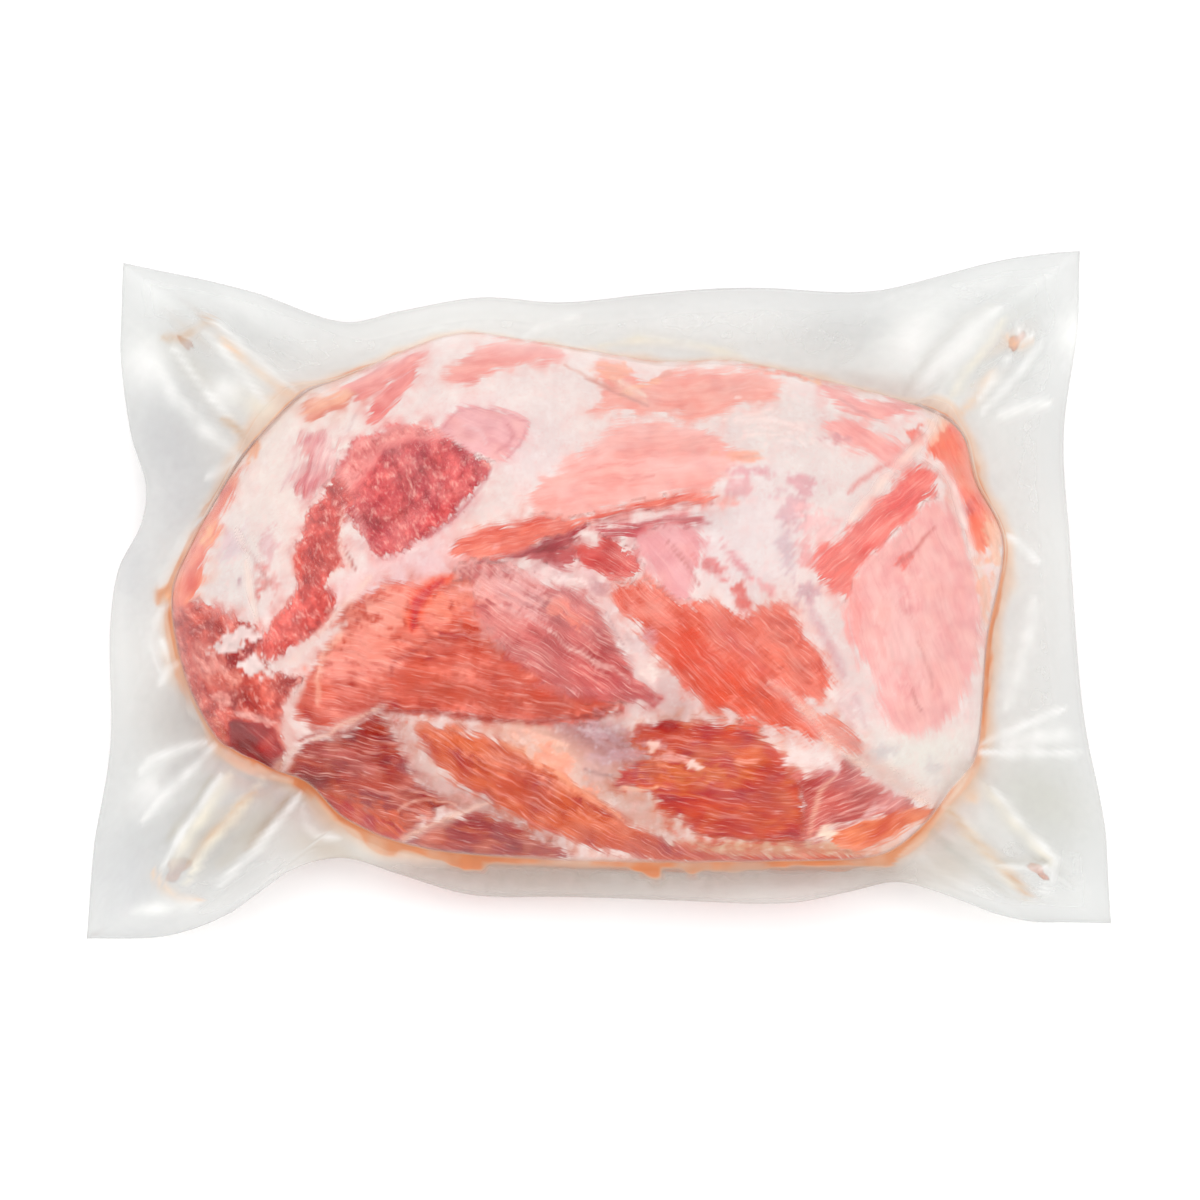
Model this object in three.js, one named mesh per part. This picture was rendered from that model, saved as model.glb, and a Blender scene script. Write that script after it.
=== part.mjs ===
// A vacuum-sealed pack of raw boneless pork leg, lying on its flat underside.
// A clear pouch is shrunk onto the meat, and its two films meet in a thin flat seam all round.
// Millimetres, +Z up. The origin is on the table, under the middle of the whole pack.

import * as THREE from 'three';

// ---- The pouch: its four corners on plan, and how far the vacuum pulled each edge in ----

const frontLeft = [-200, -148];
const frontRight = [200, -141];
const backRight = [200, 148];
const backLeft = [-198, 141];

// Each side runs anticlockwise. A pull is [distance along the side, distance pulled inwards].
const frontPulls = [
  [28, 1], [47, 7], [62, 15], [78, 27], [99, 32], [121, 26], [149, 18], [184, 16],
  [231, 13], [275, 11], [298, 15], [318, 19], [338, 13], [357, 4], [373, 0],
];
const rightPulls = [[35, 0], [54, 2], [79, 6], [104, 8], [162, 9], [208, 10], [256, 2]];
const backPulls = [
  [12, 0], [29, 2], [58, 9], [87, 14], [133, 14], [183, 16], [217, 18], [250, 15],
  [283, 20], [308, 25], [346, 11], [371, 3],
];
const leftPulls = [[36, 0], [74, 6], [96, 13], [113, 12], [133, 4], [159, 2], [205, 4], [249, 0]];

const frontColumns = 36;
const sideColumns = 26;
const backColumns = 36;
const cornerCrowding = 0.35; // columns stand closer together near the corners

const filmSeam = 0.8; // the two films lying on each other
const seamHeight = 24; // height at which the seam leaves the meat
const edgeHeight = 16; // mean height of the pouch's free edge
const cornerLift = 5; // the corners curl up by this
const seamRings = 8;

// Slow waves round the free edge: [waves in one turn, height, phase in turns]
const edgeWaves = [[5, 1.4, 0.1], [11, 1.8, 0.35], [17, 1.1, 0.8]];

// ---- The meat: its widest outline on plan, at the height of the seam ----

const meatCentre = [-4, -16];
const meatOutline = [
  [163, 13], [153, 40], [148, 61], [134, 71], [106, 80], [57, 92], [24, 92], [-33, 102],
  [-63, 104], [-106, 85], [-126, 75], [-146, 50], [-165, 13], [-172, -13], [-162, -52],
  [-143, -79], [-117, -87], [-98, -104], [-62, -116], [8, -120], [70, -120], [101, -119],
  [117, -114], [135, -97], [149, -76], [155, -28],
];
const outlineSteps = 416;

const meatHeight = 95; // top of the meat above the table
const crownFlatness = 2.6; // larger is flatter across the top
const shoulderFullness = 0.55; // smaller is squarer at the sides
const meatRings = 17;
const rimCrowding = 0.5; // rings stand closer together near the widest outline
const reliefFade = 8; // the muscles' relief dies out towards the widest outline

const restShare = 0.85; // the underside is flat out to this share of the outline
const undersideRings = 6;

// Muscles that stand up under the film: centre, half length, half width, turn in degrees, rise
const muscles = [
  { at: [-78, -48], long: 52, wide: 27, turn: -4, rise: 5 },
  { at: [56, -52], long: 50, wide: 28, turn: -42, rise: 5 },
  { at: [126, -38], long: 42, wide: 26, turn: 80, rise: 5 },
  { at: [62, -96], long: 52, wide: 15, turn: -6, rise: 4 },
  { at: [-46, -96], long: 44, wide: 13, turn: -24, rise: 4 },
  { at: [-98, -90], long: 34, wide: 14, turn: -24, rise: 3 },
  { at: [16, 24], long: 54, wide: 18, turn: 2, rise: 4 },
  { at: [104, 44], long: 38, wide: 16, turn: -24, rise: 3 },
  { at: [-50, 72], long: 44, wide: 15, turn: 8, rise: 3 },
  { at: [-128, 14], long: 40, wide: 18, turn: 62, rise: 3 },
  { at: [-92, 6], long: 40, wide: 20, turn: 48, rise: -3 },
];

// Hollows where the film is drawn down between two muscles
const hollows = [
  { path: [[-120, -74], [-78, -72], [-38, -77], [8, -79], [25, -74]], deep: 7, wide: 7 },
  { path: [[-2, -28], [15, -57], [25, -74]], deep: 5, wide: 8 },
  { path: [[-54, -15], [-38, -13], [0, -3], [46, 8]], deep: 5, wide: 8 },
  { path: [[-46, 12], [-62, -4], [-98, -30], [-131, -46]], deep: 4, wide: 8 },
  { path: [[68, -30], [78, -50], [90, -68], [106, -82]], deep: 6, wide: 8 },
  { path: [[10, -80], [34, -101], [62, -112]], deep: 5, wide: 7 },
  { path: [[-84, -76], [-65, -98], [-44, -106]], deep: 4, wide: 6 },
];

// At each corner the film is stretched off the meat into a low hollow ridge.
// root and tip are on plan; the ridge narrows and comes down from root to tip.
const rootLift = 15;
const tipLift = 3;
const rootRounding = 25;
const tipRounding = 12;
const cornerRidges = [
  { root: [-129, 65], tip: [-171, 110], rootWidth: 38, tipWidth: 18 },
  { root: [-140, -82], tip: [-168, -128], rootWidth: 20, tipWidth: 18 },
  { root: [140, 73], tip: [172, 116], rootWidth: 16, tipWidth: 20 },
  { root: [139, -90], tip: [172, -125], rootWidth: 21, tipWidth: 16 },
];

const filmColour = 0xd98a80; // pale film with the raw meat showing through
const filmRoughness = 0.25;

// ---- Small helpers ----

function mix(a, b, share) {
  return a + (b - a) * share;
}

function smoothStep(value) {
  const t = Math.min(Math.max(value, 0), 1);
  return t * t * (3 - 2 * t);
}

// A smooth curve through [position, value] pairs, read at one position.
function smoothThrough(pairs, position) {
  let index = 0;
  while (index < pairs.length - 2 && pairs[index + 1][0] < position) index += 1;
  const before = pairs[Math.max(index - 1, 0)];
  const start = pairs[index];
  const end = pairs[index + 1];
  const after = pairs[Math.min(index + 2, pairs.length - 1)];
  const span = end[0] - start[0];
  const t = (position - start[0]) / span;
  const startSlope = ((end[1] - before[1]) / (end[0] - before[0])) * span;
  const endSlope = ((after[1] - start[1]) / (after[0] - start[0])) * span;
  const t2 = t * t;
  const t3 = t2 * t;
  const fromStart = (2 * t3 - 3 * t2 + 1) * start[1] + (t3 - 2 * t2 + t) * startSlope;
  const fromEnd = (3 * t2 - 2 * t3) * end[1] + (t3 - t2) * endSlope;
  return fromStart + fromEnd;
}

function distanceToPath(x, y, path) {
  let nearest = Infinity;
  for (let i = 0; i + 1 < path.length; i += 1) {
    const [ax, ay] = path[i];
    const [bx, by] = path[i + 1];
    const lengthSquared = (bx - ax) ** 2 + (by - ay) ** 2;
    const along = ((x - ax) * (bx - ax) + (y - ay) * (by - ay)) / lengthSquared;
    const share = Math.min(Math.max(along, 0), 1);
    nearest = Math.min(nearest, Math.hypot(x - mix(ax, bx, share), y - mix(ay, by, share)));
  }
  return nearest;
}

// ---- Outlines on plan ----

// The points of one side of the pouch, without its last corner.
function pouchSide(start, end, pulls, columns) {
  const length = Math.hypot(end[0] - start[0], end[1] - start[1]);
  const alongX = (end[0] - start[0]) / length;
  const alongY = (end[1] - start[1]) / length;
  const pairs = [[0, 0], ...pulls, [length, 0]];
  const points = [];
  for (let i = 0; i < columns; i += 1) {
    const even = i / columns;
    const crowded = even - (cornerCrowding * Math.sin(2 * Math.PI * even)) / (2 * Math.PI);
    const along = crowded * length;
    const pull = Math.max(smoothThrough(pairs, along), 0);
    points.push({
      x: start[0] + alongX * along - alongY * pull,
      y: start[1] + alongY * along + alongX * pull,
      cornerShare: 1 - Math.sin(Math.PI * crowded),
    });
  }
  return points;
}

function pouchOutline() {
  return [
    ...pouchSide(frontLeft, frontRight, frontPulls, frontColumns),
    ...pouchSide(frontRight, backRight, rightPulls, sideColumns),
    ...pouchSide(backRight, backLeft, backPulls, backColumns),
    ...pouchSide(backLeft, frontLeft, leftPulls, sideColumns),
  ];
}

// The meat's outline as [angle, radius] pairs round its centre, in rising angle.
function meatRadii() {
  const corners = meatOutline.map(([x, y]) => new THREE.Vector3(x, y, 0));
  const curve = new THREE.CatmullRomCurve3(corners, true, 'catmullrom', 0.5);
  const radii = [];
  for (let i = 0; i < outlineSteps; i += 1) {
    const point = curve.getPoint(i / outlineSteps);
    const x = point.x - meatCentre[0];
    const y = point.y - meatCentre[1];
    radii.push([Math.atan2(y, x), Math.hypot(x, y)]);
  }
  return radii.sort((a, b) => a[0] - b[0]);
}

function radiusAt(radii, angle) {
  const turn = 2 * Math.PI;
  let after = radii.findIndex((pair) => pair[0] >= angle);
  if (after === -1) after = 0;
  const before = (after + radii.length - 1) % radii.length;
  const span = (radii[after][0] - radii[before][0] + turn) % turn;
  const share = ((angle - radii[before][0] + turn) % turn) / span;
  return mix(radii[before][1], radii[after][1], share);
}

// ---- Heights ----

function muscleRelief(x, y) {
  let relief = 0;
  for (const { at, long, wide, turn, rise } of muscles) {
    const angle = THREE.MathUtils.degToRad(turn);
    const along = (x - at[0]) * Math.cos(angle) + (y - at[1]) * Math.sin(angle);
    const across = (y - at[1]) * Math.cos(angle) - (x - at[0]) * Math.sin(angle);
    relief += rise * Math.exp(-((along / long) ** 2) - (across / wide) ** 2);
  }
  for (const { path, deep, wide } of hollows) {
    relief -= deep * Math.exp(-((distanceToPath(x, y, path) / wide) ** 2));
  }
  return relief;
}

function meatTop(x, y, share) {
  const crown = (1 - share ** crownFlatness) ** shoulderFullness;
  const relief = muscleRelief(x, y) * (1 - share ** reliefFade);
  return seamHeight + (meatHeight - seamHeight) * crown + relief;
}

function meatUnderside(share) {
  const across = (share - restShare) / (1 - restShare);
  return (seamHeight - filmSeam) * (1 - Math.sqrt(1 - across ** 2));
}

function ridgeLift(x, y) {
  let lift = 0;
  for (const { root, tip, rootWidth, tipWidth } of cornerRidges) {
    const length = Math.hypot(tip[0] - root[0], tip[1] - root[1]);
    const alongX = (tip[0] - root[0]) / length;
    const alongY = (tip[1] - root[1]) / length;
    const along = (x - root[0]) * alongX + (y - root[1]) * alongY;
    const across = Math.abs((y - root[1]) * alongX - (x - root[0]) * alongY);
    const share = Math.min(Math.max(along / length, 0), 1);
    const halfWidth = mix(rootWidth, tipWidth, share) / 2;
    const sideways = 1 / (1 + (across / halfWidth) ** 4);
    const rootEnd = smoothStep((along + rootRounding) / rootRounding);
    const tipEnd = 1 - smoothStep((along - length) / tipRounding);
    lift += mix(rootLift, tipLift, share) * sideways * rootEnd * tipEnd;
  }
  return lift;
}

// ---- The loops of points, from the top of the meat out to the edge and back underneath ----

function packColumns() {
  const radii = meatRadii();
  const outline = pouchOutline();
  return outline.map((edge, index) => {
    const angle = Math.atan2(edge.y - meatCentre[1], edge.x - meatCentre[0]);
    const turns = index / outline.length;
    let edgeLevel = edgeHeight + cornerLift * edge.cornerShare ** 3;
    for (const [count, height, phase] of edgeWaves) {
      edgeLevel += height * Math.sin(2 * Math.PI * (count * turns + phase));
    }
    return { edge, angle, edgeLevel, radius: radiusAt(radii, angle) };
  });
}

function meatPoint(column, share) {
  return {
    x: meatCentre[0] + Math.cos(column.angle) * column.radius * share,
    y: meatCentre[1] + Math.sin(column.angle) * column.radius * share,
  };
}

function seamPoint(column, share) {
  const root = meatPoint(column, 1);
  return {
    x: mix(root.x, column.edge.x, share),
    y: mix(root.y, column.edge.y, share),
    z: mix(seamHeight, column.edgeLevel, share) - filmSeam,
  };
}

function topLoops(columns) {
  const loops = [];
  for (let ring = 1; ring <= meatRings; ring += 1) {
    const even = ring / meatRings;
    const share = mix(even, Math.sin((Math.PI / 2) * even), rimCrowding);
    loops.push(columns.map((column) => {
      const { x, y } = meatPoint(column, share);
      return [x, y, meatTop(x, y, share)];
    }));
  }
  for (let ring = 1; ring <= seamRings; ring += 1) {
    loops.push(columns.map((column) => {
      const { x, y, z } = seamPoint(column, ring / seamRings);
      const lift = ridgeLift(x, y) * (1 - (ring / seamRings) ** 4);
      return [x, y, z + filmSeam + lift];
    }));
  }
  return loops;
}

function undersideLoops(columns) {
  const loops = [];
  for (let ring = seamRings; ring >= 1; ring -= 1) {
    loops.push(columns.map((column) => {
      const { x, y, z } = seamPoint(column, ring / seamRings);
      return [x, y, z];
    }));
  }
  for (let ring = undersideRings; ring >= 0; ring -= 1) {
    const share = mix(restShare, 1, Math.sin((Math.PI / 2) * (ring / undersideRings)));
    loops.push(columns.map((column) => {
      const { x, y } = meatPoint(column, share);
      return [x, y, meatUnderside(share)];
    }));
  }
  return loops;
}

// Joins the loops into one closed surface, with a fan of triangles at each end.
function closedSurface(topCentre, loops, undersideCentre) {
  const count = loops[0].length;
  const positions = [...topCentre, ...loops.flat(2), ...undersideCentre];
  const last = 1 + loops.length * count;
  const triangles = [];
  for (let i = 0; i < count; i += 1) {
    const next = (i + 1) % count;
    triangles.push(0, 1 + i, 1 + next);
    triangles.push(last, last - count + next, last - count + i);
    for (let ring = 0; ring + 1 < loops.length; ring += 1) {
      const inner = 1 + ring * count;
      const outer = inner + count;
      triangles.push(inner + i, outer + i, outer + next);
      triangles.push(inner + i, outer + next, inner + next);
    }
  }
  const geometry = new THREE.BufferGeometry();
  geometry.setAttribute('position', new THREE.Float32BufferAttribute(positions, 3));
  geometry.setIndex(triangles);
  geometry.computeVertexNormals();
  return geometry;
}

function sealedPack() {
  const columns = packColumns();
  const [x, y] = meatCentre;
  const geometry = closedSurface(
    [x, y, meatTop(x, y, 0)],
    [...topLoops(columns), ...undersideLoops(columns)],
    [x, y, 0],
  );
  const material = new THREE.MeshStandardMaterial({
    color: filmColour,
    roughness: filmRoughness,
    metalness: 0,
  });
  const mesh = new THREE.Mesh(geometry, material);
  mesh.name = 'sealed_pack';
  return mesh;
}

const pack = new THREE.Group();
pack.add(sealedPack());

export default pack;
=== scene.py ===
"""The looks of a vacuum pack of boneless pork leg: the meat, its juice and the clear film."""

import bpy
import numpy as np
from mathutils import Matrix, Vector


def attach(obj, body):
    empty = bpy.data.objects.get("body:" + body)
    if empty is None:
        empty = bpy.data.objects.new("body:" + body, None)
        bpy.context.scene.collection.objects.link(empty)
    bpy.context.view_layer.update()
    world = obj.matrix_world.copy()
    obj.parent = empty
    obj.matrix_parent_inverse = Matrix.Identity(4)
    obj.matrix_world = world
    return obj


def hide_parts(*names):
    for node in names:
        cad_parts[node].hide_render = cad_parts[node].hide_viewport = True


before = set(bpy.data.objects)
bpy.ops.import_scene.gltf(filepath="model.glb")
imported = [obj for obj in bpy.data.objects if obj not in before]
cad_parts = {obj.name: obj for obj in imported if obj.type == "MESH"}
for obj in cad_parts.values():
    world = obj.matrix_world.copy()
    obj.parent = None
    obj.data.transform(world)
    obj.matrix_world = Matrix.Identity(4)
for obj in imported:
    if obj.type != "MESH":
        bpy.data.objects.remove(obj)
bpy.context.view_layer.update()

MM = 0.001

# ---- The camera, as the photograph was taken ----

PHOTO_SIZE = 1200  # pixels, both ways
CAMERA_TARGET = np.array((0.0, -4.0, 12.0))  # millimetres
CAMERA_ELEVATION = 70  # degrees
CAMERA_DISTANCE = 1550  # millimetres
PHOTO_SCALE = 2.469  # pixels to a millimetre at the target
SENSOR_WIDTH = 36  # millimetres

PHOTO_MIDDLE = PHOTO_SIZE / 2
FOCAL_PIXELS = PHOTO_SCALE * CAMERA_DISTANCE
LOOK_FORWARD = np.array((0.0, np.cos(np.radians(CAMERA_ELEVATION)),
                         -np.sin(np.radians(CAMERA_ELEVATION))))
LOOK_UP = np.array((0.0, np.sin(np.radians(CAMERA_ELEVATION)),
                    np.cos(np.radians(CAMERA_ELEVATION))))
CAMERA_PLACE = CAMERA_TARGET - LOOK_FORWARD * CAMERA_DISTANCE


def make_camera():
    lens = bpy.data.cameras.new("photo_camera")
    lens.sensor_width = SENSOR_WIDTH
    lens.lens = SENSOR_WIDTH * FOCAL_PIXELS / PHOTO_SIZE
    camera = bpy.data.objects.new("photo_camera", lens)
    camera.location = Vector(CAMERA_PLACE * MM)
    camera.rotation_euler = Vector(LOOK_FORWARD).to_track_quat("-Z", "Y").to_euler()
    bpy.context.scene.collection.objects.link(camera)
    bpy.context.scene.camera = camera


def photo_place(points):
    """Where points, in millimetres, show in the photograph: pixels rightwards and downwards."""
    away = points - CAMERA_PLACE
    depth = away @ LOOK_FORWARD
    return (PHOTO_MIDDLE + FOCAL_PIXELS * away[..., 0] / depth,
            PHOTO_MIDDLE - FOCAL_PIXELS * (away @ LOOK_UP) / depth)


# ---- The pack's form, in millimetres: the same driving dimensions and formulas as the solid's ----

FRONT_LEFT = (-200, -148)
FRONT_RIGHT = (200, -141)
BACK_RIGHT = (200, 148)
BACK_LEFT = (-198, 141)

# Each side runs anticlockwise. A pull is (distance along the side, distance pulled inwards).
FRONT_PULLS = ((28, 1), (47, 7), (62, 15), (78, 27), (99, 32), (121, 26), (149, 18), (184, 16),
               (231, 13), (275, 11), (298, 15), (318, 19), (338, 13), (357, 4), (373, 0))
RIGHT_PULLS = ((35, 0), (54, 2), (79, 6), (104, 8), (162, 9), (208, 10), (256, 2))
BACK_PULLS = ((12, 0), (29, 2), (58, 9), (87, 14), (133, 14), (183, 16), (217, 18), (250, 15),
              (283, 20), (308, 25), (346, 11), (371, 3))
LEFT_PULLS = ((36, 0), (74, 6), (96, 13), (113, 12), (133, 4), (159, 2), (205, 4), (249, 0))
CORNER_CROWDING = 0.35

SEAM_HEIGHT = 24
EDGE_HEIGHT = 16
CORNER_LIFT = 5
EDGE_WAVES = ((5, 1.4, 0.1), (11, 1.8, 0.35), (17, 1.1, 0.8))

MEAT_CENTRE = (-4, -16)
MEAT_OUTLINE = (
    (163, 13), (153, 40), (148, 61), (134, 71), (106, 80), (57, 92), (24, 92), (-33, 102),
    (-63, 104), (-106, 85), (-126, 75), (-146, 50), (-165, 13), (-172, -13), (-162, -52),
    (-143, -79), (-117, -87), (-98, -104), (-62, -116), (8, -120), (70, -120), (101, -119),
    (117, -114), (135, -97), (149, -76), (155, -28))
OUTLINE_STEPS = 16  # points made between one outline point and the next

MEAT_HEIGHT = 95
CROWN_FLATNESS = 2.6
SHOULDER_FULLNESS = 0.55
RELIEF_FADE = 8
REST_SHARE = 0.85

# Muscles that stand up: centre, half length, half width, turn in degrees, rise
SWELLS = (
    ((-78, -48), 52, 27, -4, 5), ((56, -52), 50, 28, -42, 5), ((126, -38), 42, 26, 80, 5),
    ((62, -96), 52, 15, -6, 4), ((-46, -96), 44, 13, -24, 4), ((-98, -90), 34, 14, -24, 3),
    ((16, 24), 54, 18, 2, 4), ((104, 44), 38, 16, -24, 3), ((-50, 72), 44, 15, 8, 3),
    ((-128, 14), 40, 18, 62, 3), ((-92, 6), 40, 20, 48, -3))

# Hollows between muscles: path, depth, width
HOLLOWS = (
    (((-120, -74), (-78, -72), (-38, -77), (8, -79), (25, -74)), 7, 7),
    (((-2, -28), (15, -57), (25, -74)), 5, 8),
    (((-54, -15), (-38, -13), (0, -3), (46, 8)), 5, 8),
    (((-46, 12), (-62, -4), (-98, -30), (-131, -46)), 4, 8),
    (((68, -30), (78, -50), (90, -68), (106, -82)), 6, 8),
    (((10, -80), (34, -101), (62, -112)), 5, 7),
    (((-84, -76), (-65, -98), (-44, -106)), 4, 6))

# Ridges of stretched film at the corners: root, tip, width at the root, width at the tip
CORNER_RIDGES = (
    ((-129, 65), (-171, 110), 38, 18), ((-140, -82), (-168, -128), 20, 18),
    ((140, 73), (172, 116), 16, 20), ((139, -90), (172, -125), 21, 16))
ROOT_LIFT = 15
TIP_LIFT = 3
ROOT_ROUNDING = 25
TIP_ROUNDING = 12


def mix(a, b, share):
    return a + (b - a) * share


def smooth_step(value):
    t = np.clip(value, 0, 1)
    return t * t * (3 - 2 * t)


def smooth_through(pairs, at):
    """A smooth curve through (position, value) pairs, read at an array of positions."""
    xs, ys = np.array(pairs, float).T
    last = len(xs) - 1
    start = np.clip(np.searchsorted(xs, at) - 1, 0, last - 1)
    end = start + 1
    before = np.maximum(start - 1, 0)
    after = np.minimum(start + 2, last)
    span = xs[end] - xs[start]
    t = (at - xs[start]) / span
    slope_in = (ys[end] - ys[before]) / (xs[end] - xs[before]) * span
    slope_out = (ys[after] - ys[start]) / (xs[after] - xs[start]) * span
    from_start = (2 * t**3 - 3 * t**2 + 1) * ys[start] + (t**3 - 2 * t**2 + t) * slope_in
    return from_start + (3 * t**2 - 2 * t**3) * ys[end] + (t**3 - t**2) * slope_out


def path_distance(x, y, path):
    """Distance to the nearest point of an open path, and how far along it that point is, 0 to 1."""
    nearest = np.full(np.shape(x), np.inf)
    share = np.zeros(np.shape(x))
    lengths = [np.hypot(b[0] - a[0], b[1] - a[1]) for a, b in zip(path[:-1], path[1:])]
    passed = 0
    for (ax, ay), (bx, by), length in zip(path[:-1], path[1:], lengths):
        along = np.clip(((x - ax) * (bx - ax) + (y - ay) * (by - ay)) / length**2, 0, 1)
        away = np.hypot(x - mix(ax, bx, along), y - mix(ay, by, along))
        share = np.where(away < nearest, (passed + along * length) / sum(lengths), share)
        nearest = np.minimum(nearest, away)
        passed += length
    return nearest, share


def pouch_side(start, end, pulls, columns):
    length = np.hypot(end[0] - start[0], end[1] - start[1])
    along_x = (end[0] - start[0]) / length
    along_y = (end[1] - start[1]) / length
    even = np.arange(columns) / columns
    crowded = even - CORNER_CROWDING * np.sin(2 * np.pi * even) / (2 * np.pi)
    along = crowded * length
    pull = np.maximum(smooth_through(((0, 0), *pulls, (length, 0)), along), 0)
    x = start[0] + along_x * along - along_y * pull
    y = start[1] + along_y * along + along_x * pull
    return np.stack([x, y, 1 - np.sin(np.pi * crowded)], 1)


def pouch_edge(columns):
    """The pouch's free edge: x, y, z, with columns points in a ratio of 18 to 13 along its sides."""
    long_side = columns * 18 // 62
    short_side = columns // 2 - long_side
    sides = np.concatenate([
        pouch_side(FRONT_LEFT, FRONT_RIGHT, FRONT_PULLS, long_side),
        pouch_side(FRONT_RIGHT, BACK_RIGHT, RIGHT_PULLS, short_side),
        pouch_side(BACK_RIGHT, BACK_LEFT, BACK_PULLS, long_side),
        pouch_side(BACK_LEFT, FRONT_LEFT, LEFT_PULLS, short_side)])
    turns = np.arange(len(sides)) / len(sides)
    level = EDGE_HEIGHT + CORNER_LIFT * sides[:, 2] ** 3
    for count, height, phase in EDGE_WAVES:
        level = level + height * np.sin(2 * np.pi * (count * turns + phase))
    return np.stack([sides[:, 0], sides[:, 1], level], 1)


def closed_curve(points, steps):
    """A smooth closed curve through a few points."""
    start = np.array(points, float)[:, None]
    before, end, after = (np.roll(start, shift, 0) for shift in (1, -1, -2))
    t = (np.arange(steps) / steps)[None, :, None]
    curve = 0.5 * (2 * start + (end - before) * t + (2 * before - 5 * start + 4 * end - after) * t**2
                   + (3 * start - before - 3 * end + after) * t**3)
    return curve.reshape(-1, 2)


def meat_radius(angle):
    """The meat's widest outline: its distance from the meat's centre in each direction."""
    away = closed_curve(MEAT_OUTLINE, OUTLINE_STEPS) - MEAT_CENTRE
    angles = np.arctan2(away[:, 1], away[:, 0])
    order = np.argsort(angles)
    return np.interp(angle, angles[order], np.hypot(*away.T)[order], period=2 * np.pi)


def muscle_relief(x, y):
    relief = np.zeros(np.shape(x))
    for (centre_x, centre_y), long, wide, turn, rise in SWELLS:
        angle = np.radians(turn)
        along = (x - centre_x) * np.cos(angle) + (y - centre_y) * np.sin(angle)
        across = (y - centre_y) * np.cos(angle) - (x - centre_x) * np.sin(angle)
        relief += rise * np.exp(-(along / long) ** 2 - (across / wide) ** 2)
    for path, deep, wide in HOLLOWS:
        relief -= deep * np.exp(-(path_distance(x, y, path)[0] / wide) ** 2)
    return relief


def meat_top(x, y, share):
    crown = (1 - np.clip(share, 0, 1) ** CROWN_FLATNESS) ** SHOULDER_FULLNESS
    relief = muscle_relief(x, y) * (1 - share**RELIEF_FADE)
    return SEAM_HEIGHT + (MEAT_HEIGHT - SEAM_HEIGHT) * crown + relief


def meat_underside(share):
    across = np.clip((share - REST_SHARE) / (1 - REST_SHARE), 0, 1)
    return SEAM_HEIGHT * (1 - np.sqrt(1 - across**2))


def ridge_lift(x, y):
    """Height of the corner ridges, and how far out along the nearest one a point is."""
    lift = np.zeros(np.shape(x))
    for root, tip, root_width, tip_width in CORNER_RIDGES:
        length = np.hypot(tip[0] - root[0], tip[1] - root[1])
        along_x = (tip[0] - root[0]) / length
        along_y = (tip[1] - root[1]) / length
        along = (x - root[0]) * along_x + (y - root[1]) * along_y
        across = (y - root[1]) * along_x - (x - root[0]) * along_y
        share = np.clip(along / length, 0, 1)
        half_width = mix(root_width, tip_width, share) / 2
        sideways = 1 / (1 + (across / half_width) ** 4)
        root_end = smooth_step((along + ROOT_ROUNDING) / ROOT_ROUNDING)
        tip_end = 1 - smooth_step((along - length) / TIP_ROUNDING)
        lift += mix(ROOT_LIFT, TIP_LIFT, share) * sideways * root_end * tip_end
    return lift


# ---- Noise ----

# Each pattern: the size of its bumps along and across, its seed and its layers
PATTERNS = {
    # In pixels of the photograph
    "rough": (15, 15, 3, 3), "fine": (6, 6, 8, 2), "warp_x": (24, 24, 21, 2), "warp_y": (24, 24, 22, 2),
    "muscle_broad": (44, 20, 43, 3), "muscle_soft": (16, 8, 57, 3), "muscle_cut": (10, 8, 53, 2),
    "muscle_fibres": (34, 4, 41, 2), "sinews": (34, 3.2, 47, 1), "sinew_patches": (60, 22, 49, 1),
    "fibre_bend": (80, 80, 31, 1), "edge_streaks": (34, 6, 71, 2), "spot_streaks": (30, 5, 73, 2),
    "fat_mottle": (26, 26, 61, 3), "fat_rosy": (20, 20, 63, 3), "sheen": (32, 24, 65, 3),
    "shadow": (30, 22, 67, 3), "edge_shade_patches": (30, 30, 103, 3), "fold_wobble": (26, 26, 83, 2),
    "fold_patches": (24, 24, 85, 1), "veil_edge": (22, 22, 87, 2), "haze_patches": (44, 44, 89, 3),
    "from_meat": (30, 30, 93, 1), "line_spread": (70, 70, 107, 3), "line_strength": (50, 50, 105, 3),
    # In millimetres on plan
    "rim_juice": (24, 24, 91, 3), "juice_amount": (26, 26, 101, 3), "crinkle": (16, 16, 95, 3),
    "fine_crinkle": (5, 5, 97, 1), "ripple": (10, 10, 99, 3)}


def lattice(column, row, seed):
    """An even random number, 0 to 1, for each corner of a square lattice."""
    mixed = (column.astype(np.int64) * 374761393 + row.astype(np.int64) * 668265263
             + seed * 1442695041) & 0xFFFFFFFF
    mixed = ((mixed ^ (mixed >> 13)) * 1274126177) & 0xFFFFFFFF
    return ((mixed ^ (mixed >> 16)) & 0xFFFFFF) / float(0x1000000)


def noise(x, y, seed):
    """Smooth noise from about -1 to 1, with bumps one unit apart."""
    column = np.floor(x)
    row = np.floor(y)
    within_x = x - column
    within_y = y - row

    def slope(right, up):
        turn = lattice(column + right, row + up, seed) * 2 * np.pi
        return np.cos(turn) * (within_x - right) + np.sin(turn) * (within_y - up)

    blend_x = within_x**3 * (within_x * (within_x * 6 - 15) + 10)
    blend_y = within_y**3 * (within_y * (within_y * 6 - 15) + 10)
    near_side = mix(slope(0, 0), slope(1, 0), blend_x)
    far_side = mix(slope(0, 1), slope(1, 1), blend_x)
    return mix(near_side, far_side, blend_y) * 1.5


def layered_noise(x, y, seed, layers):
    total = np.zeros(np.shape(x))
    for layer in range(layers):
        total += noise(x * 2**layer, y * 2**layer, seed + 17 * layer) / 2**layer
    return total * 0.8


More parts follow.
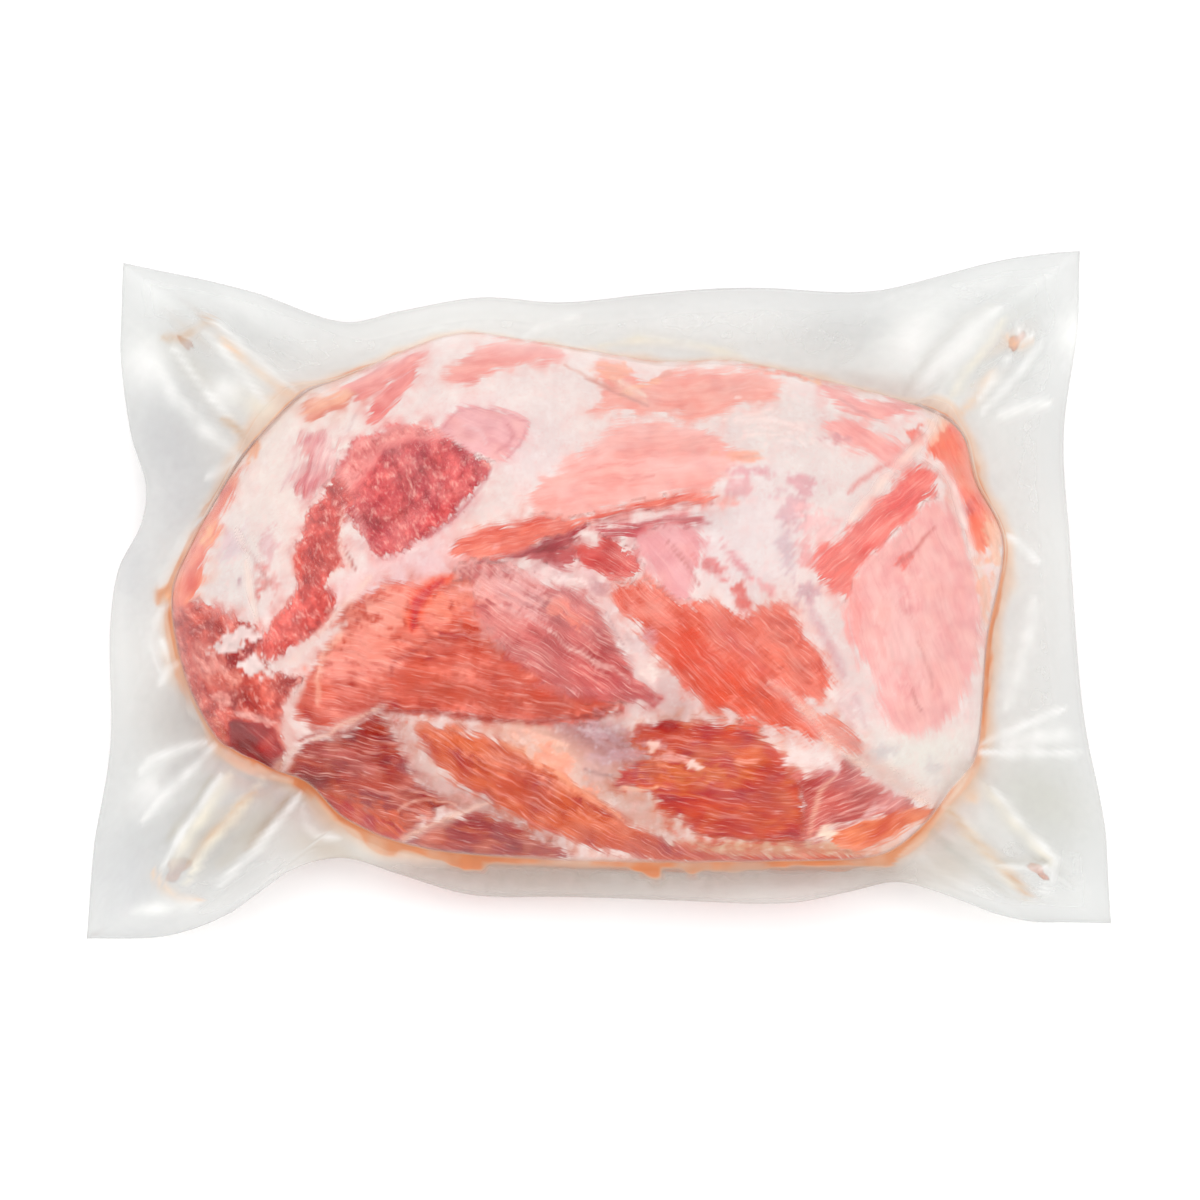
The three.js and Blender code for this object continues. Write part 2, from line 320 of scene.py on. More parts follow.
def pattern(name, x, y):
    """One of the named patterns. A single layer is plain noise."""
    along, across, seed, layers = PATTERNS[name]
    if layers == 1:
        return noise(x / along, y / across, seed)
    return layered_noise(x / along, y / across, seed, layers)


# ---- Areas in the photograph's frame, in pixels ----


def depth_inside(x, y, ring):
    """Distance to a closed outline, positive inside it."""
    ends = np.roll(ring, -1, 0)
    nearest = np.full(np.shape(x), np.inf)
    inside = np.zeros(np.shape(x), bool)
    for (ax, ay), (bx, by) in zip(ring, ends):
        span = max((bx - ax) ** 2 + (by - ay) ** 2, 1e-9)
        along = np.clip(((x - ax) * (bx - ax) + (y - ay) * (by - ay)) / span, 0, 1)
        nearest = np.minimum(nearest, np.hypot(x - mix(ax, bx, along), y - mix(ay, by, along)))
        if ay != by:
            inside ^= ((ay > y) != (by > y)) & (x < mix(ax, bx, (y - ay) / (by - ay)))
    return np.where(inside, nearest, -nearest)


def near_points(x, y, points, margin):
    """Which of many places lie within a margin of a group of points."""
    low = np.min(points, 0) - margin
    high = np.max(points, 0) + margin
    return np.flatnonzero((x > low[0]) & (x < high[0]) & (y > low[1]) & (y < high[1]))


# ---- What the film shows of the meat: every place is a pixel of the photograph ----

FAT = (244, 224, 219)

# Soft tints of the fat between the muscles, one of them painted shade: colour, strength, centre, half
# sizes, turn in degrees
FAT_TINTS = (
    ((248, 232, 224), 0.8, (285, 470), (80, 90), 30),
    ((236, 226, 222), 0.8, (228, 570), (42, 60), 15),
    ((245, 230, 226), 0.9, (520, 392), (120, 34), 0),
    ((250, 203, 205), 0.8, (404, 590), (80, 34), -25),
    ((239, 220, 218), 0.9, (540, 454), (40, 30), -45),
    ((236, 222, 218), 0.9, (810, 450), (100, 60), 25),
    ((236, 220, 219), 0.9, (745, 540), (60, 60), 50),
    ((238, 202, 198), 0.8, (590, 590), (60, 26), 35),
    ((228, 196, 192), 0.9, (690, 700), (110, 26), 12),
    # Painted shade in the hollow between the muscles
    ((178, 120, 118), 0.95, (600, 750), (70, 30), 30),
    ((240, 188, 166), 0.8, (540, 745), (60, 22), 30),
    ((220, 182, 174), 0.9, (410, 760), (26, 60), -35),
    ((196, 150, 142), 0.9, (500, 815), (70, 12), 24),
    ((216, 176, 164), 0.9, (640, 806), (60, 22), 35),
    ((214, 174, 142), 0.9, (780, 850), (110, 9), 0),
    ((238, 232, 224), 1.0, (918, 758), (56, 34), 0),
    ((216, 186, 180), 0.8, (880, 772), (36, 12), 30),
    ((232, 212, 208), 0.9, (850, 660), (18, 70), -25))

CRUMB_SCALE = (4.0, 0.5)  # a cut face's fibres end on, as crumbs: along and across
# How strongly each kind of surface shows its threads
THREADS = {"plain": 0.28, "soft": 0.28, "fibre": 0.50, "sinewy": 0.70, "cut": 0.90}

# A muscle: colour, second colour, kind of surface, direction of its fibres in degrees turned from
# rightwards to downwards, raggedness, softness of its edge, and its outline.
MUSCLES = {
    "shank": (
        (232, 104, 88), (182, 56, 48), "cut", 62, 4, 2.0,
        ((174, 598), (200, 604), (222, 612), (244, 622), (262, 636), (264, 652), (272, 668),
         (290, 676), (300, 682), (286, 700), (282, 722), (284, 756), (276, 776), (240, 774),
         (216, 764), (208, 738), (194, 712), (180, 684), (170, 650))),
    "shank_end": (
        (176, 26, 20), (142, 12, 14), "plain", 40, 2, 1.6,
        ((230, 722), (250, 722), (270, 727), (281, 742), (279, 760), (266, 768), (244, 764),
         (232, 752))),
    "shank_pink": (
        (236, 138, 122), (210, 92, 80), "cut", 50, 4, 2.5,
        ((198, 640), (214, 646), (230, 664), (244, 676), (232, 690), (208, 684), (192, 662))),
    "cut_face": (
        (238, 104, 104), (190, 62, 72), "cut", 60, 3, 2.0,
        ((356, 440), (378, 434), (398, 425), (424, 428), (446, 437), (466, 447), (478, 458),
         (488, 466), (480, 484), (462, 504), (444, 522), (420, 541), (396, 552), (376, 556),
         (366, 540), (352, 518), (344, 496), (338, 468))),
    "cut_face_edge": (
        (254, 162, 156), (240, 134, 130), "cut", 60, 4, 4.0,
        ((356, 442), (378, 434), (398, 426), (424, 425), (444, 432), (436, 440), (414, 440),
         (394, 444), (372, 462), (356, 484), (344, 500), (336, 480))),
    "cut_lobe": (
        (244, 102, 92), (186, 50, 48), "cut", 66, 4, 2.0,
        ((336, 476), (350, 500), (342, 524), (340, 548), (338, 566), (326, 590), (338, 602),
         (320, 632), (296, 644), (274, 660), (262, 652), (268, 632), (286, 606), (296, 582),
         (297, 548), (306, 520), (324, 494))),
    "cap": (
        (252, 192, 194), (238, 166, 170), "soft", 20, 2, 2.0,
        ((440, 430), (454, 411), (476, 407), (502, 411), (527, 422), (522, 442), (506, 456),
         (490, 459), (474, 452), (458, 445))),
    "rear_red": (
        (224, 84, 80), (252, 150, 138), "soft", -28, 3, 2.5,
        ((340, 388), (370, 372), (400, 358), (422, 352), (414, 368), (392, 380), (370, 396),
         (350, 398))),
    "rear_sliver": (
        (254, 158, 150), (234, 108, 104), "soft", -40, 3, 2.0,
        ((371, 420), (374, 402), (388, 388), (404, 374), (415, 368), (414, 380), (402, 396),
         (388, 410))),
    "rear_orange": (
        (253, 182, 148), (224, 112, 86), "soft", -22, 3, 2.5,
        ((300, 402), (326, 396), (348, 388), (358, 394), (344, 404), (328, 412), (314, 422),
         (304, 414))),
    "left_streaks": (
        (222, 116, 124), (250, 206, 204), "sinewy", 108, 5, 3.0,
        ((302, 440), (318, 434), (336, 442), (332, 464), (320, 484), (304, 496), (296, 482),
         (304, 460))),
    "rear_strip": (
        (253, 176, 166), (244, 146, 138), "soft", -6, 4, 3.0,
        ((446, 378), (462, 360), (482, 346), (510, 341), (540, 343), (562, 353), (552, 362),
         (520, 364), (490, 374), (466, 384))),
    "rear_right": (
        (253, 180, 166), (250, 150, 134), "soft", -3, 5, 3.5,
        ((592, 412), (604, 396), (598, 364), (618, 364), (642, 381), (668, 375), (700, 369),
         (756, 371), (780, 383), (772, 402), (738, 405), (714, 418), (664, 415), (626, 410))),
    "salmon": (
        (254, 192, 184), (251, 168, 158), "soft", -7, 5, 4.0,
        ((530, 506), (540, 484), (560, 468), (582, 452), (602, 440), (614, 426), (640, 421),
         (676, 425), (706, 430), (730, 448), (742, 460), (722, 472), (710, 488), (684, 492),
         (650, 497), (612, 506), (584, 514), (556, 512))),
    "fold": (
        (250, 134, 112), (222, 84, 68), "fibre", -14, 3, 2.5,
        ((452, 548), (480, 530), (512, 524), (544, 516), (576, 520), (604, 511), (644, 501),
         (684, 493), (716, 498), (700, 503), (656, 507), (610, 515), (588, 523), (562, 534),
         (532, 547), (504, 556), (478, 561), (460, 558))),
    "under_fold": (
        (204, 82, 88), (138, 36, 46), "plain", -20, 3, 2.0,
        ((504, 555), (530, 549), (558, 536), (586, 525), (570, 543), (550, 561), (524, 557))),
    "fold_edge": (
        (228, 108, 114), (190, 66, 76), "soft", -8, 4, 2.5,
        ((598, 530), (622, 527), (646, 521), (674, 517), (704, 519), (690, 526), (660, 527),
         (638, 535), (612, 539))),
    "fascia": (
        (245, 179, 182), (238, 156, 160), "soft", 50, 4, 4.0,
        ((640, 534), (668, 526), (696, 530), (702, 552), (694, 574), (690, 596), (674, 600),
         (654, 578), (642, 556))),
    "red_patch": (
        (238, 108, 100), (206, 76, 74), "fibre", 24, 8, 2.0,
        ((574, 552), (594, 540), (616, 544), (634, 554), (643, 568), (628, 578), (604, 575),
         (586, 568))),
    "red_patch_small": (
        (200, 90, 92), (166, 60, 66), "fibre", 20, 6, 2.0,
        ((545, 560), (560, 549), (574, 556), (571, 567), (556, 568))),
    "striated": (
        (226, 114, 110), (190, 80, 80), "sinewy", 33, 5, 3.5,
        ((476, 562), (506, 568), (540, 582), (568, 588), (592, 604), (610, 630), (624, 656),
         (640, 682), (653, 700), (614, 703), (592, 718), (556, 717), (524, 700), (508, 676),
         (480, 660), (458, 640), (448, 606), (456, 578))),
    "coral": (
        (243, 124, 104), (188, 56, 36), "fibre", 12, 4, 3.0,
        ((346, 610), (372, 590), (404, 580), (434, 590), (452, 578), (470, 584), (480, 618),
         (500, 648), (532, 676), (566, 698), (604, 702), (616, 710), (586, 719), (540, 722),
         (496, 719), (456, 714), (412, 713), (380, 711), (350, 724), (320, 727), (297, 716),
         (300, 692), (312, 670), (326, 650), (336, 628))),
    "orange_red": (
        (245, 120, 98), (218, 84, 62), "fibre", 44, 5, 3.0,
        ((612, 594), (638, 583), (662, 588), (684, 605), (706, 602), (724, 607), (746, 616),
         (764, 606), (784, 605), (802, 630), (820, 652), (829, 678), (826, 694), (812, 700),
         (800, 706), (822, 726), (818, 742), (790, 729), (756, 722), (718, 710), (696, 694),
         (676, 676), (656, 652), (634, 624))),
    "orange_tail": (
        (250, 148, 124), (232, 116, 96), "fibre", 44, 4, 2.0,
        ((818, 716), (836, 718), (846, 732), (862, 740), (860, 758), (846, 752), (830, 738))),
    "rear_far": (
        (253, 164, 156), (243, 128, 122), "soft", 14, 4, 2.5,
        ((822, 384), (844, 392), (872, 400), (904, 400), (920, 410), (896, 414), (884, 422),
         (866, 418), (846, 410), (832, 402))),
    "far_strip": (
        (253, 186, 180), (249, 160, 154), "soft", 32, 4, 3.0,
        ((826, 421), (848, 419), (870, 428), (892, 442), (910, 456), (896, 470), (874, 458),
         (852, 446), (834, 436))),
    "wedge": (
        (253, 130, 118), (241, 94, 84), "fibre", -42, 5, 2.5,
        ((836, 540), (856, 521), (876, 500), (896, 483), (916, 468), (930, 472), (938, 484),
         (926, 502), (908, 520), (888, 537), (868, 556), (857, 580), (850, 604), (840, 590),
         (822, 580), (812, 562), (820, 546))),
    "pale": (
        (253, 194, 188), (247, 170, 168), "soft", 72, 4, 4.0,
        ((858, 568), (884, 545), (910, 521), (932, 500), (947, 507), (959, 530), (971, 560),
         (979, 590), (984, 622), (977, 660), (965, 690), (950, 717), (930, 728), (912, 735),
         (894, 727), (884, 708), (876, 682), (861, 660), (852, 640), (848, 616), (851, 590))),
    "right_rim": (
        (255, 136, 98), (254, 98, 62), "plain", 66, 3, 2.5,
        ((926, 448), (944, 424), (961, 430), (973, 457), (985, 487), (1002, 518), (992, 540),
         (977, 552), (968, 536), (960, 510), (952, 481), (942, 464))),
    "left_rim": (
        (255, 150, 114), (240, 104, 84), "plain", 118, 3, 2.0,
        ((243, 464), (236, 484), (226, 506), (220, 520), (221, 532), (212, 546), (206, 558),
         (203, 574), (196, 590), (186, 606), (160, 604), (164, 586), (176, 560), (184, 540),
         (196, 522), (208, 510), (220, 496), (232, 474))),
    "rose": (
        (184, 70, 52), (148, 42, 28), "sinewy", 12, 4, 2.5,
        ((294, 756), (304, 743), (322, 738), (344, 735), (362, 722), (380, 716), (393, 736),
         (403, 758), (412, 776), (426, 790), (447, 806), (424, 814), (412, 830), (391, 847),
         (360, 828), (330, 802), (306, 784), (288, 770))),
    "rose_front": (
        (202, 62, 4), (172, 34, 2), "fibre", 36, 4, 3.0,
        ((290, 770), (314, 786), (346, 800), (376, 816), (404, 828), (398, 846), (384, 846),
         (352, 828), (320, 804), (296, 782))),
    "rose_low": (
        (182, 68, 42), (144, 38, 18), "fibre", 12, 4, 2.0,
        ((400, 846), (424, 830), (452, 817), (484, 815), (516, 826), (546, 844), (570, 858),
         (540, 863), (500, 862), (440, 860))),
    "long": (
        (220, 100, 62), (184, 60, 28), "fibre", 29, 3, 2.5,
        ((414, 729), (440, 727), (470, 732), (500, 742), (522, 752), (546, 765), (570, 780),
         (594, 798), (622, 818), (652, 834), (692, 848), (734, 855), (790, 856), (850, 855),
         (868, 862), (800, 867), (730, 869), (680, 865), (640, 857), (600, 848), (560, 837),
         (520, 818), (480, 797), (450, 777), (430, 754))),
    "low": (
        (216, 80, 28), (178, 46, 10), "fibre", 6, 5, 2.5,
        ((628, 744), (646, 728), (672, 721), (712, 723), (744, 728), (766, 738), (778, 752),
         (790, 768), (803, 780), (802, 800), (808, 822), (802, 841), (770, 842), (730, 840),
         (700, 835), (686, 823), (664, 813), (652, 796), (636, 788), (616, 784), (624, 768),
         (650, 758))),
    "corner": (
        (222, 106, 96), (190, 74, 68), "sinewy", -22, 6, 2.5,
        ((792, 776), (814, 775), (836, 774), (852, 762), (866, 778), (888, 792), (914, 804),
         (896, 813), (862, 821), (836, 828), (808, 838), (800, 816), (802, 795))),
    "corner_orange": (
        (250, 142, 94), (224, 94, 52), "fibre", -24, 3, 2.0,
        ((832, 834), (862, 822), (896, 812), (924, 805), (931, 811), (908, 829), (880, 844),
         (862, 851), (838, 847))),
}

# Creases, sinews and thin seams: colour, half width, strength, depth in millimetres, path. The dark crease
# lines are partly painted shade.
LINES = {
    # Painted shade in the crease under the coral muscle's overhang
    "coral_foot": ((172, 58, 46), 2.6, 0.85, 1.6, (
        (300, 741), (318, 732), (344, 733), (362, 719), (380, 712), (410, 712), (440, 712),
        (488, 720), (520, 723), (560, 720), (600, 717), (622, 712))),
    "crack_glow": ((252, 84, 48), 9.0, 0.9, 0.0, (
        (450, 576), (437, 584), (425, 593), (417, 601), (415, 612), (412, 628))),
    "crack": ((206, 20, 6), 3.6, 1.0, 1.4, (
        (444, 578), (437, 584), (425, 593), (417, 601), (415, 612), (412, 630))),
    "crack_mid": ((196, 72, 56), 2.0, 0.85, 0.6, ((411, 618), (424, 630), (433, 639), (446, 646))),
    "crack_low": ((190, 70, 56), 2.0, 0.85, 0.6, (
        (433, 639), (419, 649), (404, 656), (394, 662), (391, 672), (388, 684))),
    "coral_sinew": ((252, 216, 204), 5.0, 0.9, -0.4, (
        (290, 664), (312, 640), (333, 617), (354, 596), (372, 576))),
    # Painted shade in the crease under the fold
    "fold_crease": ((170, 64, 70), 2.4, 0.8, 1.4, (
        (478, 562), (506, 558), (534, 549), (560, 538), (590, 524))),
    "fold_line": ((196, 92, 88), 1.6, 0.7, 0.8, (
        (590, 522), (620, 514), (660, 508), (700, 504), (714, 503))),
    "ridge_line": ((196, 104, 108), 2.2, 0.7, 0.8, (
        (604, 536), (628, 528), (650, 521), (674, 518), (700, 520), (714, 526))),
    "fascia_line": ((206, 120, 118), 1.2, 0.7, 0.4, (
        (668, 540), (680, 556), (690, 570), (700, 584))),
    # Painted shadow along the cut face's edge, where the fat band overlaps it
    "cut_lower_edge": ((186, 74, 84), 2.6, 0.55, 0.8, (
        (490, 468), (482, 486), (466, 504), (446, 524), (424, 540))),
    "cap_top": ((218, 130, 138), 1.3, 0.55, 0.4, (
        (442, 428), (456, 412), (478, 408), (504, 412), (528, 423), (522, 444), (506, 458))),
    "cap_wrinkle": ((218, 134, 140), 1.2, 0.7, 0.4, ((508, 424), (516, 434), (508, 446), (494, 454))),
    "cap_wrinkle_low": ((246, 206, 208), 1.4, 0.7, 0.0, ((462, 424), (480, 430), (486, 444))),
    "lobe_glow": ((236, 76, 58), 5.0, 0.8, 0.0, ((299, 548), (297, 562), (299, 580))),
    "lobe_glow_low": ((228, 84, 68), 3.5, 0.7, 0.0, ((292, 596), (284, 612), (272, 628))),
    "sinew_long": ((252, 214, 200), 1.8, 0.8, -0.3, (
        (344, 502), (342, 524), (340, 548), (348, 566))),
    "sinew_short": ((250, 218, 206), 1.8, 0.8, -0.3, ((340, 562), (330, 580), (324, 592))),
    "sinew_right": ((248, 196, 190), 2.4, 0.7, -0.2, (
        (352, 504), (362, 528), (368, 548), (374, 562))),
    "sinew_low": ((248, 206, 198), 1.8, 0.7, -0.2, ((342, 584), (346, 598), (340, 608))),
    "lobe_dark": ((166, 58, 52), 1.6, 0.7, 0.5, ((344, 552), (350, 562), (354, 570))),
    "tear": ((248, 196, 174), 2.0, 0.85, -0.5, (
        (378, 711), (362, 716), (346, 722), (330, 732), (312, 740))),
    "tear_tip": ((252, 220, 196), 2.0, 0.8, -0.3, ((372, 713), (379, 709))),
    # A pale ridge, with painted highlight along it
    "margin": ((252, 190, 168), 4.0, 0.85, -0.3, (
        (340, 634), (326, 654), (318, 676), (318, 704))),
    "shank_white": ((234, 196, 188), 7.0, 0.95, -0.4, (
        (302, 684), (290, 704), (286, 728), (290, 750), (284, 772))),
    "shank_wedge": ((240, 214, 208), 5.5, 0.95, -0.4, (
        (262, 670), (290, 658), (314, 644), (346, 624))),
    "shank_foot": ((228, 116, 60), 4.0, 0.9, 0.0, ((212, 756), (226, 766), (248, 769), (272, 772))),
    "shank_side": ((226, 120, 84), 3.0, 0.7, 0.0, ((214, 716), (222, 736), (224, 760))),
    "striated_sinew": ((250, 206, 196), 2.0, 0.8, -0.2, ((548, 630), (570, 648), (590, 660), (612, 672))),
    "striated_sinew_low": ((248, 200, 190), 1.4, 0.7, -0.2, (
        (592, 660), (612, 668), (630, 682))),
    "striated_top": ((248, 206, 200), 1.6, 0.6, -0.1, ((500, 604), (530, 618), (556, 634))),
    "striated_edge": ((244, 214, 208), 4.5, 0.7, -0.2, (
        (596, 604), (614, 628), (630, 650), (648, 676), (656, 690))),
    "striated_grey": ((196, 150, 150), 1.6, 0.7, 0.3, ((604, 612), (616, 630), (624, 644))),
    "striated_foot": ((170, 76, 70), 1.8, 0.7, 0.6, ((580, 716), (604, 710), (616, 704))),
    "upper_line": ((236, 140, 132), 1.3, 0.7, 0.3, ((596, 468), (620, 464), (646, 462))),
    "upper_line_low": ((232, 146, 138), 1.1, 0.7, 0.3, ((588, 484), (620, 480), (656, 475))),
    "upper_line_end": ((240, 150, 140), 1.4, 0.6, 0.3, ((668, 496), (690, 492), (708, 498))),
    "rear_crease": ((206, 132, 124), 1.4, 0.7, 0.5, (
        (584, 378), (606, 386), (628, 398), (648, 406))),
    "rear_white": ((252, 222, 204), 4.0, 0.8, -0.2, ((620, 380), (632, 390), (646, 398))),
    "rear_edge_line": ((226, 150, 130), 1.6, 0.6, 0.3, (
        (566, 364), (584, 376), (600, 384), (618, 388))),
    "far_line": ((216, 140, 138), 1.6, 0.6, 0.5, ((838, 398), (862, 412), (884, 422))),
    "left_fold": ((206, 160, 158), 1.4, 0.6, 0.3, (
        (242, 546), (254, 560), (262, 574), (270, 580))),
    "left_white": ((250, 226, 214), 2.2, 0.7, -0.2, (
        (246, 560), (248, 584), (252, 606), (258, 622))),
    "left_streak_d": ((226, 176, 180), 2.0, 0.6, 0.2, ((296, 456), (288, 476), (282, 492))),
    "left_streak_e": ((216, 176, 176), 1.8, 0.6, 0.2, ((356, 412), (350, 424), (346, 432))),
    "wedge_line": ((228, 120, 116), 3.2, 0.6, 0.5, (
        (846, 494), (862, 480), (880, 468), (892, 462))),
    "pale_crease": ((216, 122, 118), 2.2, 0.75, 0.8, (
        (896, 566), (910, 556), (922, 542), (936, 526))),
    "pale_line": ((222, 148, 144), 1.2, 0.7, 0.5, (
        (918, 640), (924, 660), (932, 674), (934, 688))),
    "pale_line_low": ((206, 130, 126), 1.3, 0.7, 0.5, ((912, 688), (916, 702), (924, 714))),
    "pale_line_right": ((226, 150, 148), 1.1, 0.6, 0.4, ((946, 502), (952, 520), (958, 536))),
    "seam_dark": ((206, 150, 160), 5.0, 0.55, 0.9, (
        (806, 598), (814, 616), (824, 634), (836, 656), (844, 678))),
    "seam_dark_low": ((212, 164, 170), 4.0, 0.5, 0.4, ((854, 694), (862, 712), (866, 728))),
    "orange_sinew": ((252, 168, 148), 2.0, 0.8, -0.2, (
        (770, 682), (790, 694), (804, 706), (818, 722), (840, 742), (858, 754))),
    "orange_sinew_up": ((252, 160, 140), 1.6, 0.6, -0.1, ((690, 620), (710, 642), (726, 662))),
    "diagonal_line": ((246, 196, 178), 1.6, 0.7, -0.2, (
        (396, 812), (414, 802), (434, 800), (456, 806))),
    "diagonal_fold": ((248, 204, 184), 2.0, 0.7, -0.3, (
        (402, 838), (424, 828), (448, 818), (472, 808), (492, 802))),
    "diagonal_dark": ((196, 100, 78), 1.4, 0.6, 0.5, (
        (400, 800), (420, 790), (440, 806), (462, 812))),
    "long_upper_edge": ((250, 168, 132), 4.0, 0.7, -0.2, (
        (500, 742), (530, 758), (560, 776), (590, 796), (620, 818))),
    "long_dark": ((196, 84, 62), 2.6, 0.5, 0.5, ((470, 770), (510, 792), (550, 806))),
    "low_foot": ((180, 82, 58), 1.8, 0.7, 0.7, (
        (690, 832), (730, 838), (770, 841), (806, 842))),
    "bottom_line": ((206, 116, 84), 1.6, 0.6, 0.5, (
        (700, 850), (760, 853), (820, 852), (866, 851))),
    "bottom_edge": ((206, 92, 54), 1.8, 0.6, 0.3, (
        (660, 862), (720, 866), (780, 866), (840, 862))),
    "rose_foot": ((160, 54, 44), 1.8, 0.7, 0.5, ((420, 856), (480, 858), (540, 861))),
    "low_flap": ((252, 190, 160), 2.0, 0.9, -0.4, ((620, 788), (638, 790), (656, 788))),
    "low_gap": ((206, 88, 84), 3.0, 0.5, 0.5, ((636, 742), (650, 736), (664, 740))),
    "corner_seam": ((250, 206, 178), 2.4, 0.8, -0.3, (
        (836, 776), (820, 792), (812, 820), (810, 838))),
    "corner_top": ((232, 190, 176), 3.0, 0.7, -0.2, ((852, 754), (880, 768), (912, 794))),
    # Painted shade in the hollow between the muscles, darkest along gap_edge
    "gap_shade": ((206, 168, 172), 4.0, 0.6, 0.4, ((572, 726), (600, 738), (610, 752))),
    "gap_edge": ((150, 112, 112), 1.6, 0.6, 0.5, ((584, 768), (600, 774), (614, 778))),
}

